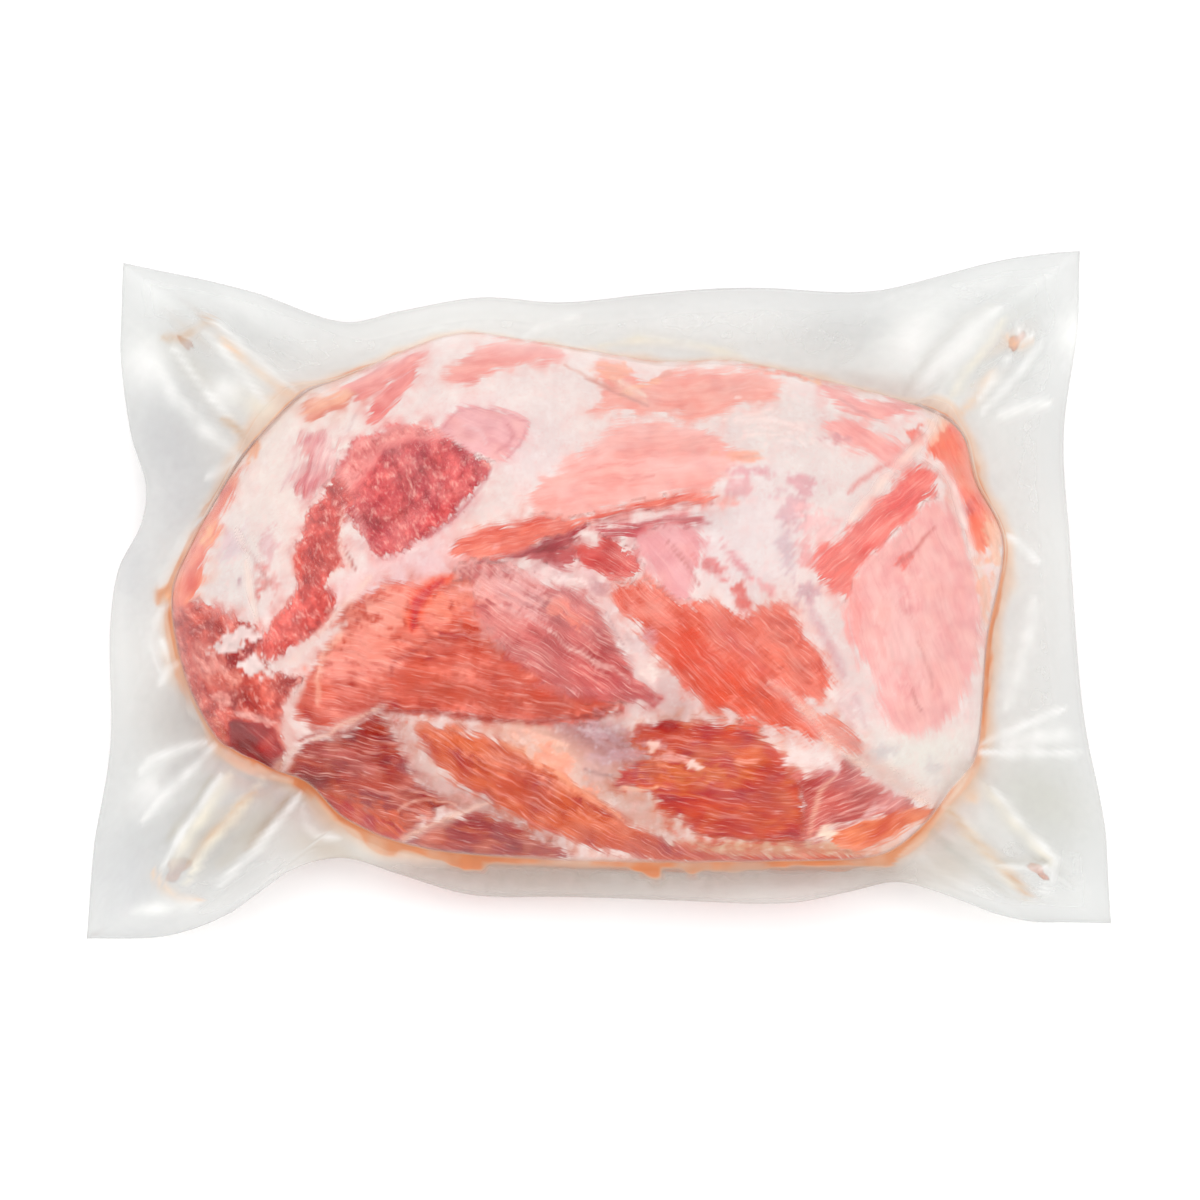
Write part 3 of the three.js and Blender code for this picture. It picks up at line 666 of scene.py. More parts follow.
# Spots: colour, softness, strength, centre, half sizes, turn in degrees
SPOTS = (
    ((255, 166, 148), 8, 0.85, (390, 610), (22, 18), -24),
    ((255, 146, 122), 6, 0.95, (440, 608), (17, 17), 0),
    ((246, 138, 112), 12, 0.6, (470, 590), (24, 16), 10),
    ((246, 150, 138), 12, 0.5, (352, 668), (26, 30), 0),
    ((202, 84, 64), 14, 0.75, (456, 690), (60, 13), 6),
    ((206, 80, 60), 12, 0.75, (526, 684), (44, 14), 24),
    ((238, 128, 108), 8, 0.6, (410, 640), (18, 9), 20),
    ((196, 80, 62), 12, 0.6, (560, 704), (40, 9), 4),
    ((222, 98, 78), 14, 0.6, (402, 672), (24, 30), 0),
    ((210, 90, 74), 8, 0.6, (350, 704), (40, 8), 4),
    ((244, 180, 176), 14, 0.75, (512, 590), (44, 18), 22),
    ((240, 150, 142), 14, 0.6, (500, 622), (30, 18), 30),
    ((216, 144, 138), 10, 0.6, (514, 650), (44, 9), 26),
    ((250, 222, 216), 3, 0.9, (570, 582), (15, 8), 10),
    ((242, 122, 96), 4, 0.8, (564, 613), (17, 8), 28),
    ((204, 100, 98), 12, 0.6, (560, 672), (42, 16), 32),
    ((198, 86, 88), 8, 0.6, (628, 690), (22, 7), 20),
    ((238, 128, 112), 8, 0.6, (566, 610), (18, 9), 30),
    ((230, 84, 62), 14, 0.7, (716, 668), (54, 22), 44),
    ((248, 136, 116), 12, 0.7, (790, 664), (18, 40), -30),
    ((244, 150, 136), 10, 0.6, (652, 604), (26, 14), 44),
    ((236, 130, 116), 10, 0.5, (736, 640), (26, 12), 44),
    ((216, 84, 76), 6, 0.5, (742, 648), (26, 5), 44),
    ((224, 92, 64), 12, 0.6, (756, 704), (36, 9), 30),
    ((198, 78, 52), 16, 0.6, (768, 800), (22, 30), -20),
    ((206, 90, 88), 8, 0.6, (664, 738), (30, 9), -4),
    ((226, 122, 76), 10, 0.7, (690, 772), (44, 10), 2),
    ((206, 84, 60), 12, 0.5, (730, 822), (44, 14), 0),
    ((210, 92, 72), 10, 0.5, (700, 748), (34, 6), 0),
    ((208, 92, 74), 10, 0.6, (520, 786), (30, 13), 24),
    ((240, 138, 104), 10, 0.6, (470, 748), (34, 9), 26),
    ((248, 158, 128), 10, 0.6, (574, 790), (30, 8), 38),
    ((206, 96, 78), 10, 0.5, (640, 848), (40, 7), 14),
    ((248, 196, 176), 8, 0.9, (540, 742), (22, 9), 12),
    ((250, 164, 138), 9, 0.8, (556, 764), (26, 10), 30),
    ((206, 170, 176), 9, 0.8, (604, 734), (20, 12), 20),
    ((200, 160, 166), 8, 0.6, (626, 752), (26, 8), -10),
    ((218, 188, 188), 8, 0.6, (634, 646), (12, 14), 50),
    ((246, 226, 218), 5, 0.9, (649, 672), (10, 7), 10),
    ((226, 150, 156), 6, 0.6, (650, 634), (8, 5), 30),
    ((176, 66, 60), 5, 0.8, (316, 748), (11, 9), 20),
    ((206, 104, 100), 9, 0.5, (360, 762), (24, 14), 10),
    ((212, 108, 84), 9, 0.7, (404, 822), (18, 9), -20),
    ((214, 96, 64), 8, 0.8, (374, 812), (26, 8), 30),
    ((186, 62, 56), 4, 0.85, (848, 768), (7, 7), 20),
    ((250, 222, 202), 4, 0.95, (827, 832), (8, 8), 10),
    ((190, 76, 78), 8, 0.6, (836, 782), (20, 8), -10),
    ((222, 148, 146), 7, 0.6, (878, 806), (18, 6), -24),
    ((236, 190, 186), 5, 0.8, (868, 812), (8, 4), -20),
    ((246, 204, 190), 3, 0.9, (652, 748), (4, 7), 0),
    ((240, 170, 164), 4, 0.8, (670, 758), (18, 4), 8),
    ((250, 216, 206), 3, 0.95, (694, 768), (6, 5), 20),
    ((238, 150, 128), 3, 0.7, (742, 762), (10, 3), -4),
    ((222, 150, 156), 5, 0.5, (268, 546), (7, 16), 0),
    ((226, 196, 204), 7, 0.6, (232, 546), (10, 18), 10),
    ((222, 132, 126), 6, 0.7, (266, 582), (8, 12), 0),
    ((214, 110, 104), 4, 0.7, (254, 592), (4, 12), 0),
    ((196, 156, 164), 3, 0.8, (239, 581), (3, 4), 0),
    ((226, 156, 152), 5, 0.6, (216, 612), (18, 7), 20),
    ((166, 56, 56), 4, 0.85, (246, 653), (18, 6), -38),
    ((240, 214, 210), 3.5, 1.0, (233, 640), (23, 11), -22),
    ((244, 220, 216), 3.5, 1.0, (257, 666), (15, 11), 10),
    ((255, 168, 150), 14, 0.6, (366, 644), (36, 30), -40),
    ((236, 168, 158), 3, 0.9, (252, 716), (21, 4), 16),
    ((172, 78, 76), 4, 0.7, (204, 628), (9, 6), 0),
    ((154, 52, 52), 3, 0.8, (294, 682), (8, 4), -20),
    ((176, 84, 80), 5, 0.6, (234, 696), (14, 7), 0),
    ((240, 160, 148), 5, 0.7, (212, 668), (12, 9), 20),
    ((244, 170, 158), 4, 0.7, (222, 700), (7, 5), 30),
    ((252, 178, 128), 4, 0.9, (208, 534), (9, 6), -60),
    ((200, 78, 70), 6, 0.5, (322, 560), (10, 34), 24),
    ((250, 172, 130), 4, 0.95, (250, 450), (8, 11), 20),
    ((252, 178, 130), 5, 0.9, (790, 370), (22, 7), 12),
    ((244, 130, 108), 4, 0.8, (784, 374), (16, 4), 12),
    ((252, 166, 132), 5, 0.8, (612, 372), (14, 9), 20),
    ((244, 150, 128), 3, 0.8, (662, 376), (16, 3), -20),
    ((252, 176, 142), 4, 0.8, (640, 386), (18, 5), -20),
    ((250, 168, 140), 5, 0.8, (738, 456), (18, 5), 0),
    ((246, 178, 168), 5, 0.7, (690, 446), (16, 8), 0),
    ((226, 150, 158), 5, 0.7, (752, 472), (16, 4), 8),
    ((228, 160, 164), 6, 0.7, (738, 490), (12, 9), 0),
    ((246, 170, 160), 4, 0.8, (732, 502), (10, 5), -10),
    ((220, 150, 158), 6, 0.7, (806, 484), (16, 10), 30),
    ((218, 160, 168), 7, 0.7, (792, 512), (12, 18), -30),
    ((246, 190, 188), 7, 0.7, (820, 524), (20, 12), 20),
    ((204, 168, 178), 6, 0.6, (786, 548), (7, 18), -10),
    ((240, 156, 156), 6, 0.6, (806, 552), (10, 10), 20),
    ((206, 160, 168), 6, 0.7, (806, 592), (13, 10), 20),
    ((216, 150, 156), 5, 0.7, (838, 438), (10, 5), 10),
    ((250, 226, 220), 9, 0.6, (770, 426), (30, 16), 10),
    ((222, 118, 118), 6, 0.85, (713, 567), (16, 6), 38),
    ((226, 138, 144), 6, 0.7, (742, 566), (4, 22), -48),
    ((222, 100, 92), 6, 0.8, (741, 597), (7, 15), -24),
    ((240, 160, 160), 5, 0.6, (760, 586), (12, 6), 44),
    ((238, 96, 78), 5, 0.8, (916, 434), (9, 9), -40),
    ((214, 66, 56), 4, 0.85, (966, 508), (7, 7), 0),
    ((250, 206, 178), 6, 0.7, (936, 426), (12, 8), -50),
    ((250, 190, 158), 6, 0.8, (994, 540), (8, 20), -10),
    ((250, 180, 150), 5, 0.8, (984, 590), (7, 26), -6),
    ((242, 100, 96), 7, 0.6, (904, 500), (18, 14), -40),
    ((240, 112, 98), 8, 0.7, (838, 566), (14, 12), 20),
    ((246, 186, 180), 6, 0.7, (900, 540), (26, 5), -40),
    ((240, 112, 104), 4, 0.8, (904, 561), (10, 5), -36),
    ((246, 150, 144), 6, 0.5, (856, 612), (7, 24), 0),
    ((250, 206, 200), 12, 0.5, (900, 640), (18, 44), 0),
    ((206, 196, 198), 6, 0.7, (884, 752), (12, 7), 20),
    ((212, 200, 200), 5, 0.7, (934, 768), (6, 10), 20),
    ((226, 186, 186), 6, 0.6, (846, 706), (8, 16), -20),
    ((206, 106, 106), 4, 0.8, (568, 592), (9, 4), 20),
    ((206, 150, 154), 5, 0.6, (598, 584), (12, 6), 40),
    ((238, 208, 206), 8, 0.6, (560, 572), (26, 6), 10))

ROSY_FAT = (248, 196, 192)
SINEW = (252, 204, 194)
SINEWS = {"sinewy": (0.52, 0.18), "fibre": (0.20, 0.28)}  # strength, and the noise where they start
CURVE_STEPS = 5  # points made between one outline point and the next
EDGE_REACH = 32  # pixels round a muscle over which the depth inside it is worked out
LEAST_LINE = 1.9  # the least half width that the meat's mesh can hold, in pixels
FATTY_MARK = 185  # marks whose every channel is above this are fat or sinew
FILM_HAZE = 0.032  # the share of white light that the film adds to what lies under it
MEAT_LIGHT = 0.84  # paint for the light that falls on the meat: the softboxes add to the world's
FILM_LIGHT = 0.92
SHEEN = (255, 186, 172)  # soft shine on the muscles
RIM = (236, 132, 88)  # the juice line where the film leaves the meat
EDGE_SHADE = (222, 116, 66)  # painted shade, tinted like the juice between film and meat, on the sides that the camera sees edge-on
EDGE_SHADE_SHARE = 0.7
EDGE_SHADE_REACH = 0.16
EDGE_SHADE_TURN = 0.05  # how far towards the camera a surface with the most of it still faces
SINEW_STEEPNESS = 2.4
BLUSH = 0.42  # how strongly fat beside a muscle takes on its colour
BLUSH_REACH = 20  # pixels out from the muscle
RELIEF_SHARE = 0.6  # of each line's depth
RIM_WIDTH = 5  # millimetres up and down from the meat's widest outline
RELIEF_LIMITS = (-2, 0.3)  # millimetres: the deepest crease and the highest sinew


def colour(rgb):
    """A colour as the photograph shows it, 0 to 255, into Blender's linear light."""
    share = np.array(rgb, float) / 255
    return np.where(share <= 0.04045, share / 12.92, ((share + 0.055) / 1.055) ** 2.4)


def under_film(rgb):
    """The colour that looks like this one through the film, which adds a pale haze."""
    return np.clip(MEAT_LIGHT * (colour(rgb) - FILM_HAZE) / (1 - FILM_HAZE), 0.005, 1)


def towards(colours, rgb, weight):
    """The colours moved towards another, by a weight for each."""
    return mix(colours, np.array(rgb, float), weight[:, None])


def blend_into(colours, where, rgb, weight):
    colours[where] = towards(colours[where], rgb, weight)


def turned(x, y, degrees):
    angle = np.radians(degrees)
    return x * np.cos(angle) + y * np.sin(angle), y * np.cos(angle) - x * np.sin(angle)


def muscle_colour(kind, main, second, along, across):
    """The colour of a muscle's surface, its fibres or its cut bundles showing."""
    main = np.array(main, float)
    broad = pattern("muscle_broad", along, across)
    if kind in ("plain", "soft"):
        shade = 0.45 + 0.8 * broad + 0.5 * pattern("muscle_soft", along, across)
        return towards(main, second, np.clip(shade, 0, 1))
    if kind == "cut":
        shade = 0.40 + 0.8 * broad + 0.7 * pattern("muscle_cut", along, across)
        return towards(main, second, np.clip(shade, -0.3, 1.3))
    shade = 0.42 + 0.95 * broad + 0.36 * pattern("muscle_fibres", along, across)
    face = towards(main, second, np.clip(shade, -0.2, 1.2))
    amount, start = SINEWS[kind]
    sinews = np.clip((pattern("sinews", along, across) - start) * SINEW_STEEPNESS, 0, 1)
    patchy = smooth_step(0.5 + pattern("sinew_patches", along, across))
    return towards(face, SINEW, sinews * patchy * amount)


def fat_colour(x, y, fine):
    colours = np.tile(np.array(FAT, float), (len(x), 1))
    for rgb, strength, centre, (half_x, half_y), turn in FAT_TINTS:
        along, across = turned(x - centre[0], y - centre[1], turn)
        weight = strength * np.exp(-((along / half_x) ** 4 + (across / half_y) ** 4))
        colours = towards(colours, rgb, weight)
    mottle = 0.030 * pattern("fat_mottle", x, y) + 0.022 * fine
    colours *= 1 + mottle[:, None] * np.array([0.7, 1.3, 1.2])
    rosy = 0.20 * smooth_step((pattern("fat_rosy", x, y) - 0.10) * 2.2)
    return towards(colours, ROSY_FAT, rosy)


def paint_muscles(x, y, rough, fine, skin):
    """Lays the muscles over one another. The skin's arrays are changed in place."""
    for main, second, kind, turn, ragged, soft, points in MUSCLES.values():
        ring = closed_curve(points, CURVE_STEPS)
        where = near_points(x, y, ring, EDGE_REACH)
        along, across = turned(x[where], y[where], turn)
        across = across + 5 * pattern("fibre_bend", x[where], y[where])
        streaks = pattern("edge_streaks", along, across)
        depth = depth_inside(x[where], y[where], ring)
        depth += ragged * (1.1 * streaks + 0.55 * rough[where] + 0.2 * fine[where])
        soft = soft * (1.2 + rough[where])
        face = muscle_colour(kind, main, second, along, across)
        blush = BLUSH * smooth_step((depth + BLUSH_REACH) / 24)
        blush *= smooth_step(0.5 + 0.9 * rough[where])
        blend_into(skin["fatty"], where, face, blush)

        beneath = skin["edge"][where]
        free = (beneath < 0) & (depth > beneath)
        weight = np.where(free, 1.0, smooth_step((depth + soft) / (2 * soft)))
        blend_into(skin["lean"], where, face, weight)
        owned = free | (depth > 0)
        taken = where[owned]
        crumb_along, crumb_across = CRUMB_SCALE if kind == "cut" else (1, 1)
        skin["along"][taken] = along[owned] * crumb_along
        skin["across"][taken] = across[owned] * crumb_across
        skin["softness"][taken] = soft[owned]
        skin["cut"][taken] = float(kind == "cut")
        skin["threads"][taken] = THREADS[kind]
        meeting = smooth_step((beneath + 9) / 4) * smooth_step((5 - np.abs(depth)) / 4)
        skin["threads"][where] *= 1 - meeting
        skin["edge"][where] = np.maximum(beneath, depth)


def paint_mark(skin, where, rgb, weight):
    """Paints a spot or line on lean and fat alike; fatty ones hide the threads under them."""
    blend_into(skin["lean"], where, rgb, weight)
    blend_into(skin["fatty"], where, rgb, weight)
    if np.min(rgb) > FATTY_MARK:
        skin["threads"][where] *= 1 - weight


def paint_spots(x, y, rough, fine, skin):
    for rgb, soft, strength, centre, (half_x, half_y), turn in SPOTS:
        where = near_points(x, y, np.array([centre]), max(half_x, half_y) + 2 * soft)
        along, across = turned(x[where] - centre[0], y[where] - centre[1], turn)
        inwards = (1 - np.hypot(along / half_x, across / half_y)) * min(half_x, half_y)
        uneven = 0.6 * soft + 0.35 * min(half_x, half_y)
        streaks = pattern("spot_streaks", skin["along"][where], skin["across"][where])
        inwards += uneven * (0.7 * fine[where] + 1.2 * rough[where] + streaks)
        weight = strength * smooth_step((inwards + 0.6 * soft) / (1.2 * soft))
        paint_mark(skin, where, np.array(rgb) * (1 + 0.10 * streaks[:, None]), weight)


def paint_lines(x, y, rough, fine, skin):
    for rgb, width, strength, deep, path in LINES.values():
        width = max(width, LEAST_LINE)
        where = near_points(x, y, path, 4 * width + 4)
        away, share = path_distance(x[where], y[where], path)
        taper = 0.4 + 0.6 * np.sqrt(np.clip(4 * share * (1 - share), 0, 1))
        profile = np.exp(-((away / (width * taper * (1 + 0.4 * fine[where]))) ** 2))
        patchy = np.clip(0.9 + 0.5 * rough[where], 0, 1)
        paint_mark(skin, where, rgb, profile * strength * patchy)
        skin["relief"][where] -= RELIEF_SHARE * deep * profile


def paint_meat(x, y):
    """What each place shows, as arrays by name.

    The lean and fatty colours meet where edge, the depth inside a muscle, is 0, and softness is that
    edge's half width. Along and across run with the fibres. All are in pixels, relief in millimetres.
    """
    count = len(x)
    rough = pattern("rough", x, y)
    fine = pattern("fine", x, y)
    x = x + 2.5 * pattern("warp_x", x, y)
    y = y + 2.5 * pattern("warp_y", x, y)
    skin = {"fatty": fat_colour(x, y, fine), "lean": np.tile(np.array(SHEEN, float), (count, 1)),
            "edge": np.full(count, -EDGE_REACH, float), "softness": np.full(count, 3.0),
            "along": x.copy(), "across": y.copy(), "cut": np.zeros(count),
            "threads": np.zeros(count), "relief": np.zeros(count)}
    paint_muscles(x, y, rough, fine, skin)
    sheen = 0.34 * smooth_step(0.2 + 0.9 * pattern("sheen", x, y))
    lean = towards(skin["lean"], SHEEN, sheen)
    shadow = 0.20 * smooth_step(0.2 + 0.9 * pattern("shadow", x, y)) * skin["threads"]
    skin["lean"] = lean * (1 - shadow[:, None] * np.array([0.7, 1.4, 1.3]))
    paint_spots(x, y, rough, fine, skin)
    paint_lines(x, y, rough, fine, skin)
    return skin


# ---- Film: folds and veils, each place a pixel of the photograph ----

CLOUDY = (240, 241, 238)  # loose film
FAR_FILM = (214, 216, 215)  # loose film far from the meat, where it lies flat
ROOT = (248, 214, 186)  # film next to the meat, tinted by juice
# Milky film with painted highlight, on fold crests and bright patches
HIGHLIGHT_WHITE = (250, 250, 248)
CREAM = (246, 238, 220)
PEACH = (244, 208, 178)
TAN = (206, 168, 134)
SHADE = (190, 186, 176)  # film that lies in the shade of a fold
HAZE = (250, 238, 236)  # film over the meat
FRONT_SHADE = (172, 158, 148)  # painted shade, pinkish with a painted reflection of the meat, on the film below the meat's front

# Folds over the meat: height in millimetres, half width in pixels, cover, colour, path. Their pale lines
# are milky creased film, partly painted highlight.
FOLDS = {
    "strap": (1.2, 7.0, 0.72, (253, 222, 208), (
        (938, 414), (917, 448), (890, 474), (866, 500), (850, 522))),
    # Painted highlight along a fold of the film
    "crescent": (1.0, 5.0, 0.70, (254, 234, 226), (
        (920, 458), (940, 466), (953, 486), (958, 506), (968, 534), (974, 566))),
    "crescent_foot": (0.7, 5.0, 0.35, (250, 214, 190), (
        (974, 560), (984, 580), (986, 604), (984, 630))),
    "low_fold": (0.8, 3.6, 0.45, (252, 216, 196), (
        (768, 681), (788, 694), (806, 714), (826, 740), (858, 762), (890, 782), (930, 806))),
    "low_fold_side": (0.6, 3.0, 0.34, (250, 222, 208), (
        (806, 706), (846, 738), (884, 764), (926, 790))),
    "left_crease": (0.6, 3.0, 0.34, (250, 232, 224), ((243, 469), (249, 512), (254, 540), (262, 566))),
    "left_fold": (0.7, 3.4, 0.45, (252, 234, 224), ((236, 529), (247, 555), (249, 587), (256, 618))),
    "left_fine": (0.4, 2.6, 0.30, (250, 228, 222), ((282, 536), (284, 560), (290, 586))),
    "foot_fold": (0.7, 3.4, 0.40, (250, 206, 184), ((402, 840), (427, 829), (455, 816), (478, 803))),
    "foot_tear": (0.6, 2.8, 0.40, (250, 206, 186), ((308, 740), (340, 728), (372, 712), (384, 706))),
    "rear_fold": (0.6, 3.2, 0.35, (252, 222, 204), ((612, 378), (628, 392), (646, 402))),
    "shank_fold": (0.6, 3.2, 0.4, (246, 200, 176), ((296, 748), (280, 764), (272, 784), (262, 800))),
}

# Folds of the loose film outside the meat. Their white crests carry painted highlight on milky film, and
# the flat grey ones are painted shade in the folds.
LOOSE_FOLDS = {
    "back_left_outer": (1.6, 7.0, 0.60, HIGHLIGHT_WHITE, ((152, 362), (174, 398), (206, 432), (238, 456))),
    "back_left_inner": (1.4, 3.0, 0.60, HIGHLIGHT_WHITE, ((172, 346), (200, 384), (226, 416), (246, 440))),
    "back_left_crest": (1.8, 4.5, 0.55, HIGHLIGHT_WHITE, ((214, 322), (244, 350), (276, 378), (296, 392))),
    "back_left_peach": (0.8, 5.0, 0.55, PEACH, ((220, 338), (250, 366), (280, 388), (300, 399))),
    "back_left_under": (0.8, 3.0, 0.50, HIGHLIGHT_WHITE, ((206, 332), (228, 356), (250, 384), (264, 402))),
    "back_left_end": (0.6, 2.4, 0.55, TAN, ((162, 338), (184, 337), (200, 326), (212, 316))),
    "back_left_flap": (0.5, 2.0, 0.60, TAN, ((222, 420), (234, 426), (246, 440))),
    "back_left_low": (1.0, 5.0, 0.60, HIGHLIGHT_WHITE, ((206, 478), (226, 468), (246, 456))),
    "back_right_dark": (0.0, 2.2, 0.40, (226, 225, 220), ((904, 394), (930, 356), (958, 324), (992, 304))),
    "back_right_band": (1.8, 8.0, 0.55, HIGHLIGHT_WHITE, ((920, 388), (948, 352), (976, 322), (1000, 308))),
    "back_right_second": (1.2, 3.6, 0.50, CREAM, ((950, 398), (972, 366), (992, 340), (1004, 320))),
    "back_right_peach": (0.6, 6.0, 0.50, PEACH, ((962, 412), (978, 394), (994, 370))),
    "back_right_streak": (1.2, 2.6, 0.58, HIGHLIGHT_WHITE, ((978, 402), (994, 378), (1010, 356))),
    "back_right_outer": (1.6, 5.0, 0.60, HIGHLIGHT_WHITE, ((982, 412), (1006, 388), (1030, 360), (1042, 344))),
    "back_right_end": (0.6, 4.0, 0.60, PEACH, ((1004, 334), (1012, 343), (1022, 346), (1032, 342))),
    "back_right_glint": (0.8, 2.6, 0.80, HIGHLIGHT_WHITE, ((1018, 328), (1022, 338), (1032, 336))),
    "back_right_low": (1.0, 8.0, 0.55, HIGHLIGHT_WHITE, ((1000, 416), (1030, 406), (1050, 404))),
    "front_left_fan_shade": (0.0, 7.0, 0.60, (198, 196, 194), ((208, 750), (184, 762), (160, 784))),
    "front_left_fan_a": (1.4, 4.5, 0.65, HIGHLIGHT_WHITE, ((206, 742), (176, 750), (150, 760), (140, 772))),
    "front_left_fan_b": (1.6, 5.5, 0.70, HIGHLIGHT_WHITE, ((214, 746), (186, 776), (160, 800), (142, 822))),
    "front_left_shade": (0.0, 5.0, 0.60, SHADE, ((212, 776), (192, 806), (168, 840))),
    "front_left_a": (2.0, 8.0, 0.60, CREAM, ((230, 776), (208, 808), (186, 842), (172, 866))),
    "front_left_a_crest": (0.8, 3.0, 0.70, HIGHLIGHT_WHITE, ((221, 776), (199, 808), (177, 842), (163, 868))),
    # Painted shade in the pocket between the folds
    "front_left_pocket": (0.0, 13.0, 0.60, (198, 192, 180), ((268, 802), (244, 836), (220, 864))),
    "front_left_b": (1.4, 2.4, 0.68, CREAM, ((262, 780), (240, 806), (214, 836), (192, 870))),
    "front_left_bc": (0.0, 1.8, 0.65, TAN, ((256, 790), (232, 816), (206, 842), (190, 862))),
    "front_left_c": (1.2, 2.0, 0.65, CREAM, ((250, 800), (226, 828), (204, 852), (186, 884))),
    "front_left_d_shade": (0.0, 5.0, 0.62, (184, 170, 154), ((289, 796), (269, 820), (247, 850))),
    "front_left_d": (1.6, 2.8, 0.72, HIGHLIGHT_WHITE, ((300, 796), (280, 820), (258, 848), (218, 886))),
    "front_left_end": (1.0, 3.6, 0.60, PEACH, ((152, 872), (164, 888), (180, 900), (200, 900))),
    "left_pucker": (0.6, 5.0, 0.85, (244, 178, 132), ((162, 590), (170, 597), (178, 610))),
    "left_pucker_line": (0.0, 5.0, 0.70, (222, 150, 104), ((158, 604), (160, 594), (168, 586))),
    "front_left_low": (0.8, 8.0, 0.55, HIGHLIGHT_WHITE, ((132, 912), (160, 908), (196, 904))),
    "front_right_fan_a": (1.4, 5.0, 0.68, HIGHLIGHT_WHITE, ((976, 746), (1004, 734), (1034, 720), (1066, 708))),
    "front_right_fan_mid": (0.6, 10.0, 0.58, HIGHLIGHT_WHITE, ((1004, 745), (1040, 737), (1084, 732))),
    "front_right_fan_b": (1.4, 5.0, 0.68, HIGHLIGHT_WHITE, ((978, 752), (1016, 753), (1056, 753), (1090, 752))),
    "front_right_peach": (0.6, 9.0, 0.50, PEACH, ((962, 764), (966, 784), (974, 800))),
    "front_right_a": (2.0, 6.0, 0.52, CREAM, ((984, 784), (1008, 816), (1034, 844), (1052, 864))),
    "front_right_crest": (0.8, 3.0, 0.60, HIGHLIGHT_WHITE, ((992, 788), (1018, 820), (1042, 846), (1058, 862))),
    "front_right_b": (2.0, 6.0, 0.52, CREAM, ((944, 806), (972, 838), (1000, 868), (1022, 892))),
    "front_right_line": (0.0, 2.0, 0.60, TAN, (
        (950, 812), (976, 842), (1000, 864), (1016, 880), (1028, 898))),
    "front_right_end": (0.8, 2.6, 0.62, HIGHLIGHT_WHITE, ((1002, 866), (1026, 867), (1048, 868))),
    "front_right_edge": (0.0, 1.8, 0.50, SHADE, ((1000, 860), (1024, 861), (1046, 861))),
    "front_right_side": (0.8, 4.0, 0.60, HIGHLIGHT_WHITE, ((1056, 862), (1052, 880), (1042, 892))),
    "front_right_outer": (0.0, 3.0, 0.50, (202, 200, 192), ((930, 830), (970, 866), (1014, 898))),
    "right_glint": (1.2, 5.0, 0.62, HIGHLIGHT_WHITE, ((1008, 536), (1022, 546), (1038, 562))),
    # Painted highlight on the film, lens-shaped
    "right_lens": (1.0, 9.0, 0.50, HIGHLIGHT_WHITE, ((1034, 600), (1028, 636), (1016, 676), (1006, 708))),
    "left_low": (1.0, 4.0, 0.50, HIGHLIGHT_WHITE, ((176, 600), (160, 612), (150, 640), (160, 672))),
    "left_low_side": (1.0, 3.4, 0.62, HIGHLIGHT_WHITE, ((180, 662), (168, 668), (160, 684))),
    "left_spot": (0.6, 4.0, 0.70, HIGHLIGHT_WHITE, ((162, 640), (166, 652), (168, 660))),
    "left_high": (1.0, 5.0, 0.36, HIGHLIGHT_WHITE, ((200, 520), (184, 540), (170, 566), (160, 586))),
    "front_edge_a": (1.0, 3.6, 0.55, HIGHLIGHT_WHITE, ((302, 806), (306, 824), (318, 836), (338, 838))),
    "rear_edge_a": (1.0, 4.0, 0.45, HIGHLIGHT_WHITE, ((520, 340), (540, 328), (560, 320), (580, 316))),
    "rear_edge_b": (1.0, 5.0, 0.45, CREAM, ((600, 346), (640, 340), (690, 344), (740, 356))),
}

# Veils over the meat: cover, colour, centre, half sizes, turn in degrees
VEILS = (
    (0.12, HAZE, (560, 400), (260, 60), 2), (0.10, HAZE, (800, 500), (120, 110), 30),
    (0.08, HAZE, (280, 500), (80, 110), 30), (0.08, HAZE, (910, 640), (60, 100), 0),
    (0.26, (244, 238, 232), (915, 762), (50, 34), 0), (0.10, HAZE, (540, 600), (80, 30), 20))

# Veils on the loose film. The white ones are painted highlight; the greys at (196, 372), (206, 838) and
# (170, 448) are painted shade in the folds, and those at (330, 850) and (950, 862) painted shade below the
# meat's front.
LOOSE_VEILS = (
    (0.62, HIGHLIGHT_WHITE, (148, 366), (26, 34), -20), (0.50, (208, 206, 200), (196, 372), (14, 40), -40),
    (0.50, (192, 192, 188), (206, 838), (34, 22), -50),
    (0.55, HIGHLIGHT_WHITE, (226, 390), (17, 15), 0), (0.55, CREAM, (262, 406), (18, 12), 30),
    (0.62, (206, 206, 207), (170, 448), (60, 34), 60), (0.50, (218, 218, 219), (176, 500), (24, 40), 10),
    (0.58, HIGHLIGHT_WHITE, (1076, 334), (18, 30), 0), (0.55, (204, 200, 196), (186, 720), (40, 40), 30),
    (0.55, HIGHLIGHT_WHITE, (150, 790), (22, 34), 30), (0.55, (212, 213, 214), (130, 880), (44, 60), 0),
    (0.55, (212, 212, 205), (1044, 800), (50, 36), 30), (0.58, HIGHLIGHT_WHITE, (912, 340), (34, 44), 30),
    (0.60, HIGHLIGHT_WHITE, (960, 350), (46, 14), -45), (0.50, (212, 213, 214), (130, 560), (26, 60), 0),
    (0.55, (206, 196, 182), (330, 850), (40, 20), 20),
    (0.55, (208, 200, 190), (950, 862), (36, 24), -20))

